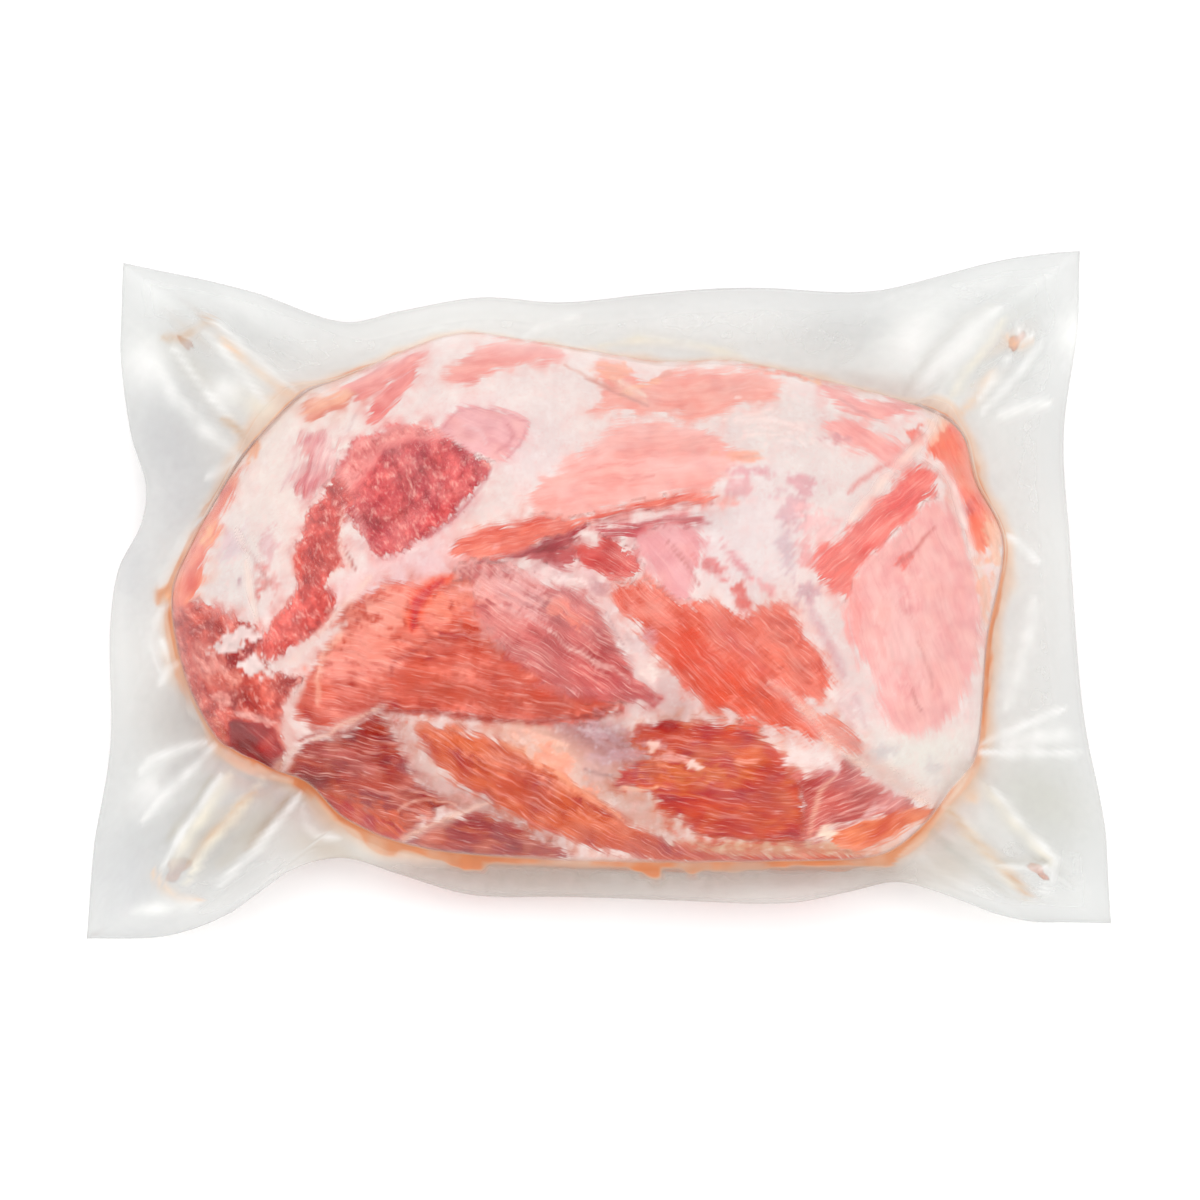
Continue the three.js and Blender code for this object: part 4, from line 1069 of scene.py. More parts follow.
LEAST_FOLD = 5.0  # the least half width that the film's mesh can hold, in pixels
OVER_MEAT_MILK = 0.006
LOOSE_MILK = 0.32
SEAL_MILK = 0.36
HEM_MILK = 0.46  # the cut edge of the pouch
SEAL_BAND = 13  # millimetres in from the free edge
BRIDGE_REACH = 4  # film that bridges from the meat's back counts as this far from it, in millimetres
BRIDGE_GAP = (2, 6)  # millimetres between film and meat: where it starts to count, and does wholly
JUICE_LINE = (214, 128, 78)  # juice drawn into the angle between meat and film
JUICE_LINE_MILK = 0.75
LINE_START = 0.5  # millimetres: film at the meat's own outline counts as this far from it
LINE_SHARE = 0.989  # where that starts, as a share of the outline
ROOT_MILK = 0.20  # added where the film leaves the meat
ROOT_REACH = 12  # millimetres
LOOSE_START = 0.8  # millimetres from the meat where the film is wholly loose
BACK_DEPTH = 40  # millimetres behind the meat's centre over which bridging film comes to show
FRONT_ROW = 850  # the pixel row below which the meat's front shades the film
FRONT_REACH = 24  # pixels, and millimetres, over which that shade comes and goes
EDGE_FADE = 10  # millimetres from the free edge within which folds die out
HEM_WIDTH = 1.6  # millimetres
MOST_MILK = 0.9

FILM_GAP = 0.6  # the meat lies this far under the film
SIDE_GAP = 0.25  # and this far inside it at the sides
FILLET_HEIGHT = 7  # the film bridges from the meat's side down to the seam
FILLET_REACH = 5
FILM_SEAM = 0.6
BRIDGE_SOFTNESS = 1.5  # how softly the film goes over from the meat to the bridge

MEAT_GRID = (344, 232)
FILM_GRID = (250, 170)
RIM_CROWDING = 0.5
MEAT_UNDER_RINGS = 8
MEAT_FLAT_SHARE = 0.80  # how far the flat underside's own grid reaches, as a share of the outline
COARSER = 4  # the underside's grid is this many times coarser than the top's
SEAM_RINGS = 46
SEAM_UNDER_RINGS = 5
FILM_UNDER_RINGS = 6
EDGE_SAMPLES = 2480
HIDDEN_SHIFT = 330  # pixels by which sides turned from the camera run back into the picture
PITS = 0.13  # millimetres: the depth of the film's fine ripples
CRINKLE = 0.7  # millimetres: the height of loose film's crinkles
FOLD_SHARE = 0.7  # of each fold's height
MILK_RIPPLE = 0.14
MILK_PATCHES = 0.03
SEAL_SOFTNESS = 1.5  # millimetres over which the sealed band begins
UNDER_MIDDLE = (590, 605)  # the underside is painted from the picture round this pixel
UNDER_SCALE = (-0.97 * PHOTO_SCALE, 0.94 * PHOTO_SCALE)  # pixels to a millimetre


def disc_grid(across, up):
    """A grid of directions and shares of the outline, closest together near the outline."""
    u, v = np.meshgrid(np.linspace(-1, 1, across + 1), np.linspace(-1, 1, up + 1))
    x = u * np.sqrt(1 - v**2 / 2)
    y = v * np.sqrt(1 - u**2 / 2)
    share = np.minimum(np.hypot(x, y), 1)
    return np.arctan2(y, x), mix(share, np.sin(np.pi / 2 * share), RIM_CROWDING)


def rim_order(across, up):
    """The grid's border vertices, anticlockwise from the front left."""
    index = np.arange((across + 1) * (up + 1)).reshape(up + 1, across + 1)
    return np.concatenate([index[0, :-1], index[:-1, -1], index[-1, :0:-1], index[:0:-1, 0]])


def free_edge_at(angle):
    """The pouch's free edge in each direction from the meat's centre."""
    points = pouch_edge(EDGE_SAMPLES)
    angles = np.arctan2(points[:, 1] - MEAT_CENTRE[1], points[:, 0] - MEAT_CENTRE[0])
    order = np.argsort(angles)
    return np.stack([np.interp(angle, angles[order], points[order, axis], period=2 * np.pi)
                     for axis in range(3)], -1)


def snap_to_corners(angles):
    """Moves the nearest column onto each corner of the pouch."""
    snapped = angles.copy()
    for corner in (FRONT_LEFT, FRONT_RIGHT, BACK_RIGHT, BACK_LEFT):
        angle = np.arctan2(corner[1] - MEAT_CENTRE[1], corner[0] - MEAT_CENTRE[0])
        turn = np.angle(np.exp(1j * (angles - angle)))
        snapped[np.argmin(np.abs(turn))] = angle
    return snapped


def plan_point(angle, share, inset=0.0):
    reach = (meat_radius(angle) - inset) * share
    return MEAT_CENTRE[0] + np.cos(angle) * reach, MEAT_CENTRE[1] + np.sin(angle) * reach


def grid_faces(across, up):
    index = np.arange((across + 1) * (up + 1)).reshape(up + 1, across + 1)
    return np.stack([index[:-1, :-1], index[:-1, 1:], index[1:, 1:], index[1:, :-1]], -1).reshape(-1, 4)


def ring_faces(inner, outer):
    return np.stack([inner, outer, np.roll(outer, -1), np.roll(inner, -1)], -1)


def under_shares(count):
    """Shares of the outline for the rings of the rounded underside, from the widest inwards."""
    return mix(REST_SHARE, 1, np.cos(np.pi / 2 * np.arange(1, count + 1) / count))


class Rings:
    """Rings of points that go on from a grid's border, numbered after the grid's own points."""

    def __init__(self, grid, rim):
        self.points = [grid]
        self.rings = [rim]
        self.count = len(grid)

    def add(self, x, y, level):
        self.points.append(np.stack([x, y, np.full(len(x), level)], 1))
        self.rings.append(np.arange(self.count, self.count + len(x)))
        self.count += len(x)

    def faces(self):
        return [ring_faces(ring, following) for ring, following in zip(self.rings[:-1], self.rings[1:])]


def coarser_ring_faces(fine, coarse):
    """Triangles between a ring and the coarser one inside it."""
    following = np.roll(coarse, -1)
    outer = [np.roll(fine, -step)[::COARSER] for step in range(COARSER + 1)]
    half = COARSER // 2
    faces = [(outer[step], coarse, outer[step + 1]) for step in range(half)]
    faces.append((outer[half], coarse, following))
    faces += [(outer[step], following, outer[step + 1]) for step in range(half, COARSER)]
    return np.concatenate([np.stack(face, 1) for face in faces])


def make_piece(name, points, quads, triangles=()):
    """A smooth closed mesh from points in millimetres."""
    mesh = bpy.data.meshes.new(name)
    faces = [*np.asarray(quads).tolist(), *np.asarray(triangles).tolist()]
    mesh.from_pydata((points * MM).tolist(), [], faces)
    mesh.polygons.foreach_set("use_smooth", np.ones(len(mesh.polygons), bool))
    mesh.update()
    piece = bpy.data.objects.new(name, mesh)
    bpy.context.scene.collection.objects.link(piece)
    return piece


def add_colours(piece, name, light):
    layer = piece.data.color_attributes.new(name, "FLOAT_COLOR", "POINT")
    values = np.concatenate([light, np.ones((len(light), 1))], 1)
    layer.data.foreach_set("color", values.astype(np.float32).ravel())


def add_vectors(piece, name, columns):
    layer = piece.data.attributes.new(name, "FLOAT_VECTOR", "POINT")
    layer.data.foreach_set("vector", np.stack(columns, -1).astype(np.float32).ravel())


def add_values(piece, name, values):
    layer = piece.data.attributes.new(name, "FLOAT", "POINT")
    layer.data.foreach_set("value", values.astype(np.float32))


def grid_normals(points, across, up):
    grid = points.reshape(up + 1, across + 1, 3)
    normals = np.cross(np.gradient(grid, axis=1), np.gradient(grid, axis=0)).reshape(-1, 3)
    return normals / np.maximum(np.linalg.norm(normals, axis=1, keepdims=True), 1e-9)


def paint_place(points, normals):
    """Where to paint: as photographed, and mirrored where a side is turned from the camera."""
    x, y = photo_place(points)
    turned_away = np.clip(normals @ LOOK_FORWARD, 0, 1) * HIDDEN_SHIFT
    return x - turned_away * normals[:, 0], y + turned_away * normals[:, 1]


def under_place(points):
    """The underside is painted like the top, turned half round."""
    return (UNDER_MIDDLE[0] + UNDER_SCALE[0] * (points[:, 0] - MEAT_CENTRE[0]),
            UNDER_MIDDLE[1] + UNDER_SCALE[1] * (points[:, 1] - MEAT_CENTRE[1]))


# ---- The meat ----


def meat_mesh():
    """The meat's top points, the others, the top points' shares of the outline, and the faces."""
    across, up = MEAT_GRID
    angle, share = (part.ravel() for part in disc_grid(across, up))
    x, y = plan_point(angle, share, SIDE_GAP)
    top = np.stack([x, y, meat_top(x, y, share) - FILM_GAP * (1 - share**RELIEF_FADE)], 1)
    rim = rim_order(across, up)
    sides = Rings(top, rim)
    for ring_share in under_shares(MEAT_UNDER_RINGS):
        height = meat_underside(ring_share) * (1 - FILM_GAP / SEAM_HEIGHT) + FILM_GAP
        sides.add(*plan_point(angle[rim], ring_share, SIDE_GAP), height)
    flat_grid = (across // COARSER, up // COARSER)
    flat_angle, flat_share = (part.ravel() for part in disc_grid(*flat_grid))
    flat_x, flat_y = plan_point(flat_angle, flat_share * MEAT_FLAT_SHARE, FILM_GAP)
    flat = np.stack([flat_x, flat_y, np.full(len(flat_x), FILM_GAP)], 1)
    quads = np.concatenate([grid_faces(across, up), *sides.faces(),
                            grid_faces(*flat_grid)[:, ::-1] + sides.count])
    joining = coarser_ring_faces(sides.rings[-1], rim_order(*flat_grid) + sides.count)
    return top, np.concatenate([*sides.points[1:], flat]), share, quads, joining


def juice_and_edge_shade(points, normals, x, y):
    """How much juice shows at the meat's widest outline, and how much painted shade, tinted like juice,
    lies where its top is seen edge-on.
    """
    near_rim = np.exp(-((points[:, 2] - SEAM_HEIGHT) / RIM_WIDTH) ** 2)
    near_rim *= 0.25 + 0.6 * smooth_step(0.5 + pattern("rim_juice", points[:, 0], points[:, 1]))
    facing = -(normals @ LOOK_FORWARD)
    edge_on = EDGE_SHADE_SHARE * np.exp(-((facing - EDGE_SHADE_TURN) / EDGE_SHADE_REACH) ** 2)
    return near_rim, edge_on * smooth_step(0.6 + pattern("edge_shade_patches", x, y))


def make_meat():
    top, under, share, quads, joining = meat_mesh()
    normals = grid_normals(top, *MEAT_GRID)
    top_x, top_y = paint_place(top, normals)
    under_x, under_y = under_place(under)
    skin = paint_meat(np.concatenate([top_x, under_x]), np.concatenate([top_y, under_y]))
    points = np.concatenate([top, under])
    lift = np.clip(skin["relief"][:len(top)], *RELIEF_LIMITS) * (1 - share**4)
    points[:len(top)] += normals * lift[:, None]
    near_rim, edge_on = juice_and_edge_shade(points, normals, top_x, top_y)

    meat = make_piece("pork_leg", points, quads, joining)
    for name in ("lean", "fatty"):
        colours = towards(skin[name], RIM, near_rim)
        # Painted shade, tinted like juice, where the top is seen edge-on
        blend_into(colours, np.arange(len(top)), EDGE_SHADE, edge_on)
        add_colours(meat, name, under_film(np.clip(colours, 0, 255)))
    add_vectors(meat, "fibre", (skin["along"], skin["across"], skin["softness"]))
    add_vectors(meat, "kind", (skin["edge"], skin["cut"], skin["threads"]))
    return meat


# ---- The film ----


def soft_max(a, b, softness):
    return np.logaddexp(a / softness, b / softness) * softness


def fold_marks(x, y, folds, colours, milk, allowed):
    """Paints folds of film on the colours and the milkiness, and gives their height."""
    height = np.zeros(len(x))
    for high, width, cover, rgb, path in folds.values():
        width = max(width, LEAST_FOLD)
        where = near_points(x, y, path, 4 * width + 4)
        away, share = path_distance(x[where], y[where], path)
        taper = 0.50 + 0.50 * np.sqrt(np.clip(4 * share * (1 - share), 0, 1))
        wobble = 1 + 0.40 * pattern("fold_wobble", x[where], y[where])
        profile = np.exp(-((away / (width * taper * wobble)) ** 2)) * allowed[where]
        height[where] += FOLD_SHARE * high * profile * taper
        patchy = 0.75 + 0.5 * pattern("fold_patches", x[where], y[where])
        patchy = np.clip(profile * patchy, 0, 1)
        blend_into(colours, where, rgb, patchy)
        milk[where] = mix(milk[where], cover, patchy)
    return height


def veil_marks(x, y, veils, colours, milk, allowed):
    """Paints soft veils of milkiness, some carrying painted highlight and some painted shade. Colours and
    milk are changed in place.
    """
    uneven = 1 + 0.35 * pattern("veil_edge", x, y)
    for cover, rgb, centre, (half_x, half_y), turn in veils:
        along, aside = turned(x - centre[0], y - centre[1], turn)
        amount = np.exp(-((along / half_x) ** 2 + (aside / half_y) ** 2) * uneven) * allowed
        colours[:] = towards(colours, rgb, amount)
        milk[:] = mix(milk, np.maximum(cover, milk), amount)


def add_seam(rings, columns):
    """Adds the seam's upper side outwards and its underside back. Gives its width in each column, and
    how far out each ring lies.
    """
    root_x, root_y = plan_point(columns, 1.0)
    edge_x, edge_y, edge_level = free_edge_at(columns).T
    reach = np.hypot(edge_x - root_x, edge_y - root_y)
    root_level = rings.points[0][rings.rings[0], 2]
    root_rise = root_level - SEAM_HEIGHT - ridge_lift(root_x, root_y)
    outer_shares = np.arange(1, SEAM_RINGS + 1) / SEAM_RINGS
    for share in outer_shares:
        x = mix(root_x, edge_x, share)
        y = mix(root_y, edge_y, share)
        level = mix(SEAM_HEIGHT, edge_level, share) + ridge_lift(x, y) * (1 - share**4)
        level += root_rise * np.exp(-reach * share / FILLET_REACH) * (1 - share)
        rings.add(x, y, level)
    under_seam_shares = np.arange(SEAM_UNDER_RINGS, -1, -1) / SEAM_UNDER_RINGS
    for share in under_seam_shares:
        level = mix(SEAM_HEIGHT, edge_level, share) - FILM_SEAM
        rings.add(mix(root_x, edge_x, share), mix(root_y, edge_y, share), level)
    return reach, [reach * share for share in (*outer_shares, *under_seam_shares)]


def bridging_reach(y, share, gap):
    """How far from the meat film over it counts: where it bridges behind, and at the outline."""
    behind = smooth_step((y - MEAT_CENTRE[1]) / BACK_DEPTH)
    bridging = BRIDGE_REACH * behind * smooth_step((gap - BRIDGE_GAP[0]) / (BRIDGE_GAP[1] - BRIDGE_GAP[0]))
    at_root = LINE_START * smooth_step((share - LINE_SHARE) / (1 - LINE_SHARE))
    return np.maximum(bridging, at_root)


def film_mesh():
    """The film's form, by name, and its faces.

    Outwards and to_edge are each point's distances from the meat's outline and from the free edge.
    From_meat is the first of these as its looks count it, loose is 1 off the meat, on_top is 1 on the
    upper side, and x and y are the point's pixel.
    """
    across, up = FILM_GRID
    angle, share = (part.ravel() for part in disc_grid(across, up))
    rim = rim_order(across, up)
    columns = snap_to_corners(angle[rim])
    angle[rim] = columns
    x, y = plan_point(angle, share)
    meat_level = meat_top(x, y, share)
    bridge = SEAM_HEIGHT + FILLET_HEIGHT + ridge_lift(x, y)
    top = np.stack([x, y, soft_max(meat_level, bridge, BRIDGE_SOFTNESS)], 1)
    rings = Rings(top, rim)
    reach, seam_outwards = add_seam(rings, columns)
    upper_count = len(top) + SEAM_RINGS * len(rim)
    seam_end = rings.count
    for ring_share in under_shares(FILM_UNDER_RINGS):
        height = meat_underside(ring_share) * (1 - FILM_SEAM / SEAM_HEIGHT)
        rings.add(*plan_point(columns, ring_share), height)
    middle = np.array([[*MEAT_CENTRE, 0.0]])
    last = rings.rings[-1]
    quads = np.concatenate([grid_faces(across, up), *rings.faces()])
    fan = np.stack([last, np.full(len(last), rings.count), np.roll(last, -1)], 1)

    beside = [*seam_outwards, *[np.zeros(len(rim))] * FILM_UNDER_RINGS]
    mean_reach = reach.mean()
    points = np.concatenate([*rings.points, middle])
    place_x, place_y = photo_place(points)
    outwards = np.concatenate([np.zeros(len(top)), *beside, np.zeros(1)])
    from_meat = LINE_START + outwards * (1 + 0.3 * pattern("from_meat", place_x, place_y))
    from_meat[:len(top)] = bridging_reach(y, share, top[:, 2] - meat_level)
    from_meat[seam_end:] = 0
    film = {
        "points": points, "x": place_x, "y": place_y, "outwards": outwards, "from_meat": from_meat,
        "to_edge": np.concatenate([np.full(len(top), mean_reach), *(reach - away for away in beside),
                                   np.full(1, mean_reach)]),
        "loose": smooth_step(from_meat / LOOSE_START),
        "on_top": (np.arange(len(points)) < upper_count).astype(float)}
    return film, quads, fan


def paint_film(film):
    """The film's colour and milkiness: haze over the meat, cloud beside it, a line of juice and painted
    shade below the meat's front.
    """
    outwards, from_meat, loose = film["outwards"], film["from_meat"], film["loose"]
    milk = mix(OVER_MEAT_MILK, LOOSE_MILK, loose)
    milk += ROOT_MILK * loose * (1 - smooth_step(from_meat / ROOT_REACH))
    veil = towards(np.array(HAZE, float), ROOT, loose)
    veil = towards(veil, CLOUDY, smooth_step((from_meat - 2) / 6))
    veil = towards(veil, FAR_FILM, smooth_step((outwards - 4) / 40))
    spread = 1.0 + 2.4 * smooth_step(0.1 + 1.5 * pattern("line_spread", film["x"], film["y"]))
    line = smooth_step(from_meat / LINE_START) * (1 - smooth_step(from_meat - spread))
    line *= 0.40 + 0.60 * smooth_step(0.6 + pattern("line_strength", film["x"], film["y"]))
    veil = towards(veil, JUICE_LINE, line)
    milk = mix(milk, JUICE_LINE_MILK, line)
    # Painted shade, pinkish with a painted reflection of the meat, on the film below the meat's front
    front = smooth_step((film["y"] - FRONT_ROW) / FRONT_REACH)
    front *= smooth_step((FRONT_REACH - outwards) / FRONT_REACH) * loose
    return towards(veil, FRONT_SHADE, front * (1 - line)), milk


def crumple_film(film, veil, milk):
    """Paints and lifts the film's folds, and gives its ripples. The arrays are changed in place."""
    points, loose, on_top = film["points"], film["loose"], film["on_top"]
    on_meat = (1 - loose) * on_top
    edge_fade = smooth_step(film["to_edge"] / EDGE_FADE)
    veil_marks(film["x"], film["y"], VEILS, veil, milk, on_meat)
    veil_marks(film["x"], film["y"], LOOSE_VEILS, veil, milk, loose)
    high = fold_marks(film["x"], film["y"], FOLDS, veil, milk, on_meat)
    high += fold_marks(film["x"], film["y"], LOOSE_FOLDS, veil, milk, loose * edge_fade)
    crinkle = 0.5 * pattern("crinkle", points[:, 0], points[:, 1])
    crinkle += 0.25 * pattern("fine_crinkle", points[:, 0], points[:, 1])
    high += CRINKLE * np.maximum(crinkle, 0) * loose * edge_fade
    ripple = pattern("ripple", points[:, 0], points[:, 1])
    high += PITS * ripple * np.where(film["outwards"] > 0, edge_fade, 1)
    points[:, 2] += high * on_top
    return ripple


def finished_milk(film, milk, ripple):
    """The milkiness with its patches and ripples, the sealed band and the pouch's cut edge."""
    patches = smooth_step(0.5 + 1.2 * pattern("haze_patches", film["x"], film["y"]))
    milk = milk + MILK_PATCHES * patches * (1 - film["loose"]) * film["on_top"]
    milk *= 1 + MILK_RIPPLE * ripple
    on_seam = film["outwards"] > 0
    sealed = smooth_step((SEAL_BAND - film["to_edge"]) / SEAL_SOFTNESS) * on_seam
    milk = np.clip(mix(milk, np.maximum(milk, SEAL_MILK), sealed), 0, MOST_MILK)
    return mix(milk, HEM_MILK, smooth_step(HEM_WIDTH - film["to_edge"]) * on_seam)


def make_film():
    film, quads, fan = film_mesh()
    veil, milk = paint_film(film)
    ripple = crumple_film(film, veil, milk)
    piece = make_piece("pouch_film", film["points"], quads, fan)
    add_colours(piece, "veil", FILM_LIGHT * colour(veil))
    add_values(piece, "milk", finished_milk(film, milk, ripple))
    return piece


# ---- The juice ----

JUICE_REACH = (1.8, 4.3)  # how far it spreads from the meat, least and most
JUICE_DEPTH = (0.10, 0.75)  # the share of the fillet under the film that it fills, least and most
JUICE_HOLD = 1.2  # how far into the meat's edge it starts
JUICE_COLUMNS = 720
JUICE_BOTTOM = 0.1  # millimetres above the seam
JUICE_THINNEST = 0.15  # millimetres
LOWER_SHARES = (0.0, 0.5, 1.0)  # the bead's section runs outwards below and back above
UPPER_SHARES = (1.0, 0.66, 0.33, 0.0)
# Pools at the ends of the corner ridges: centre on plan, half sizes, turn in degrees
JUICE_POOLS = (
    ((-171, 106), (4, 1.8), -40), ((-166, -119), (6, 3.6), 52), ((172, 107), (5, 2.2), 50),
    ((172, -120), (5, 1.8), -42))
POOL_COLUMNS = 28
POOL_LEVEL = 20
POOL_SWELL = 0.8
POOL_PEAK = 0.96
POOL_SAG = 0.2
POOL_BOTTOM = 0.25


def juice_ring():
    """A thin, uneven bead of juice in the angle between the meat and the seam."""
    angle = np.arange(JUICE_COLUMNS) / JUICE_COLUMNS * 2 * np.pi - np.pi
    x, y = plan_point(angle, 1.0)
    amount = smooth_step(0.40 + 1.1 * pattern("juice_amount", x, y))
    spread = mix(*JUICE_REACH, amount)
    depth = mix(*JUICE_DEPTH, amount)
    bottom = SEAM_HEIGHT + JUICE_BOTTOM
    section = [(spread * share, np.full(JUICE_COLUMNS, bottom)) for share in LOWER_SHARES]
    for share in UPPER_SHARES:
        away = spread * share
        bridge = (FILLET_HEIGHT - FILM_GAP) * np.exp(-away / FILLET_REACH)
        section.append((away, bottom + JUICE_THINNEST + bridge * depth * (1 - 0.9 * share)))
    loops = []
    for away, level in section:
        reach = meat_radius(angle) - JUICE_HOLD + away
        loops.append(np.stack([MEAT_CENTRE[0] + np.cos(angle) * reach,
                               MEAT_CENTRE[1] + np.sin(angle) * reach, level], 1))
    count = len(loops)
    index = np.arange(count * JUICE_COLUMNS).reshape(count, JUICE_COLUMNS)
    quads = [ring_faces(index[(k + 1) % count], index[k]) for k in range(count)]
    return np.concatenate(loops), np.concatenate(quads)


def juice_pool(centre, half_sizes, turn, base):
    """A flat drop of juice at a ridge's end, its vertices numbered from base."""
    turns = np.arange(POOL_COLUMNS) / POOL_COLUMNS * 2 * np.pi
    wobble = 1 + 0.22 * np.sin(3 * turns + centre[0]) + 0.14 * np.sin(5 * turns)
    swing = np.radians(turn)
    rings = []
    for share, lift in ((1.0, 0.0), (0.6, POOL_SWELL), (0.6, -POOL_SAG)):
        along = half_sizes[0] * share * wobble * np.cos(turns)
        aside = half_sizes[1] * share * wobble * np.sin(turns)
        rings.append(np.stack([centre[0] + along * np.cos(swing) - aside * np.sin(swing),
                               centre[1] + along * np.sin(swing) + aside * np.cos(swing),
                               np.full(POOL_COLUMNS, POOL_LEVEL + lift)], 1))
    points = [*rings, np.array([[*centre, POOL_LEVEL + POOL_PEAK], [*centre, POOL_LEVEL - POOL_BOTTOM]])]
    rim, upper, lower = (np.arange(POOL_COLUMNS) + base + k * POOL_COLUMNS for k in range(3))
    peak = np.full(POOL_COLUMNS, base + 3 * POOL_COLUMNS)
    quads = np.concatenate([ring_faces(upper, rim), ring_faces(rim, lower)])
    triangles = np.concatenate([np.stack([peak, upper, np.roll(upper, -1)], 1),
                                np.stack([peak + 1, np.roll(lower, -1), lower], 1)])
    return np.concatenate(points), quads, triangles


def make_juice():
    ring_points, ring_quads = juice_ring()
    points = [ring_points]
    quads = [ring_quads]
    triangles = []
    for centre, half_sizes, turn in JUICE_POOLS:
        base = sum(len(group) for group in points)
        pool_points, pool_quads, pool_triangles = juice_pool(centre, half_sizes, turn, base)
        points.append(pool_points)
        quads.append(pool_quads)
        triangles.append(pool_triangles)
    return make_piece("meat_juice", np.concatenate(points), np.concatenate(quads),
                      np.concatenate(triangles))


# ---- Materials ----


class Nodes:
    """A material's nodes, made and joined in one call each."""

    def __init__(self, name):
        self.material = bpy.data.materials.new(name)
        self.material.use_nodes = True
        self.tree = self.material.node_tree
        self.tree.nodes.clear()

    def add(self, kind, inputs=None, **settings):
        node = self.tree.nodes.new(kind)
        for key, value in settings.items():
            setattr(node, key, value)
        for key, value in (inputs or {}).items():
            if isinstance(value, bpy.types.NodeSocket):
                self.tree.links.new(value, node.inputs[key])
            else:
                node.inputs[key].default_value = value
        return node

    def attribute(self, name):
        return self.add("ShaderNodeAttribute", attribute_name=name)

    def maths(self, operation, first, second=0.0, third=0.0, clamp=False):
        node = self.add("ShaderNodeMath", {0: first, 1: second, 2: third}, operation=operation)
        node.use_clamp = clamp
        return node.outputs[0]

    def scaled(self, vector, scale):
        node = self.add("ShaderNodeVectorMath", {0: vector, 1: scale}, operation="MULTIPLY")
        return node.outputs[0]

    def split(self, vector):
        return self.add("ShaderNodeSeparateXYZ", {0: vector}).outputs

    def grain(self, vector, detail=2.0, roughness=0.5, flat=False):
        """Noise from a vector; flat noise leaves out the vector's third part."""
        node = self.add("ShaderNodeTexNoise", {
            "Vector": vector, "Scale": 1.0, "Detail": detail, "Roughness": roughness},
            noise_dimensions="2D" if flat else "3D")
        return node.outputs["Fac"]

    def above(self, value, level, steepness, strength):
        """How far a value rises above a level, up to a strength."""
        rise = self.product(self.maths("SUBTRACT", value, level), steepness, clamp=True)
        return self.product(rise, strength)

    def product(self, first, second, clamp=False):
        return self.maths("MULTIPLY", first, second, clamp=clamp)

    def inverse(self, share):
        return self.maths("SUBTRACT", 1.0, share)

    def blend(self, share, first, second, blend_type="MIX"):
        node = self.add("ShaderNodeMix", {0: share, 6: first, 7: second}, data_type="RGBA",
                        blend_type=blend_type)
        return node.outputs[2]

    def finish(self, surface):
        self.add("ShaderNodeOutputMaterial", {"Surface": surface})
        return self.material


def rgba(rgb):
    return (*colour(rgb), 1.0)


PALE_STREAK = (255, 192, 178)
DARK_STREAK = (0.72, 0.42, 0.42, 1.0)  # what a dark streak leaves of the light
GLINT = (255, 232, 224)
PINK_FAT = (248, 186, 182)
COOL_FAT = (236, 224, 224)
VEIN = (226, 150, 148)

FEATHER = 15  # pixels by which bundles of fibres reach past a muscle's edge, in all
FINE_FEATHER = 9
BUNDLE_SCALE = (0.018, 0.25, 1)  # of the pixels along and across the fibres
THREAD_SCALE = (0.045, 0.64, 1)
FLECK_SCALE = (170, 170, 170)
VEIN_LEVEL = 0.47  # the flecks' own level that veins follow
CUT_DULLNESS = 0.7  # how much of the glints a cut face loses
# How streaks and flecks rise out of their noise: level, steepness, strength
PALE_BUNDLES = (0.55, 6.0, 0.42)
PALE_THREADS = (0.57, 6.0, 0.17)
DARK_BUNDLES = (0.53, 6.0, 0.46)
DARK_THREADS = (0.57, 6.0, 0.24)
GLINTS = (0.68, 12.0, 0.26)
PINK_FLECKS = (0.55, 6.0, 0.22)
COOL_FLECKS = (0.55, 6.0, 0.30)
VEINS = (0.985, 66.0, 0.26)


def feathered_muscle(n, bundles, threads, edge, softness):
    """How much muscle shows, with bundles of fibres reaching past its edge."""
    reach = n.maths("MULTIPLY_ADD", bundles, FEATHER, edge)
    reach = n.maths("MULTIPLY_ADD", threads, FINE_FEATHER, reach)
    reach = n.maths("SUBTRACT", reach, (FEATHER + FINE_FEATHER) / 2)
    return n.maths("MULTIPLY_ADD", n.maths("DIVIDE", reach, softness), 0.5, 0.5, clamp=True)


def fibrous(n, face, bundles, threads, threaded, cut):
    """The face with its pale and dark fibres and its wet glints."""
    pale = n.maths("ADD", n.above(bundles, *PALE_BUNDLES), n.above(threads, *PALE_THREADS))
    dark = n.maths("ADD", n.above(n.inverse(bundles), *DARK_BUNDLES),
                   n.above(n.inverse(threads), *DARK_THREADS))
    dark = n.maths("MULTIPLY_ADD", dark, cut, dark)
    dark_face = n.blend(1.0, face, DARK_STREAK, "MULTIPLY")
    face = n.blend(n.product(dark, threaded, clamp=True), face, dark_face)
    face = n.blend(n.product(pale, threaded), face, rgba(PALE_STREAK))
    glints = n.product(n.above(threads, *GLINTS), threaded)
    glints = n.product(glints, n.maths("MULTIPLY_ADD", cut, -CUT_DULLNESS, 1.0))
    return n.blend(glints, face, rgba(GLINT))


def flecked(n, face, fat):
    """The face with the fat's pink and cool flecks and its fine veins."""
    place = n.add("ShaderNodeTexCoord").outputs["Object"]
    flecks = n.grain(n.scaled(place, FLECK_SCALE), 3, 0.7)
    vein = n.inverse(n.maths("ABSOLUTE", n.maths("SUBTRACT", flecks, VEIN_LEVEL)))
    for value, rise, rgb in ((flecks, PINK_FLECKS, PINK_FAT), (n.inverse(flecks), COOL_FLECKS, COOL_FAT),
                             (vein, VEINS, VEIN)):
        face = n.blend(n.product(n.above(value, *rise), fat), face, rgba(rgb))
    return face


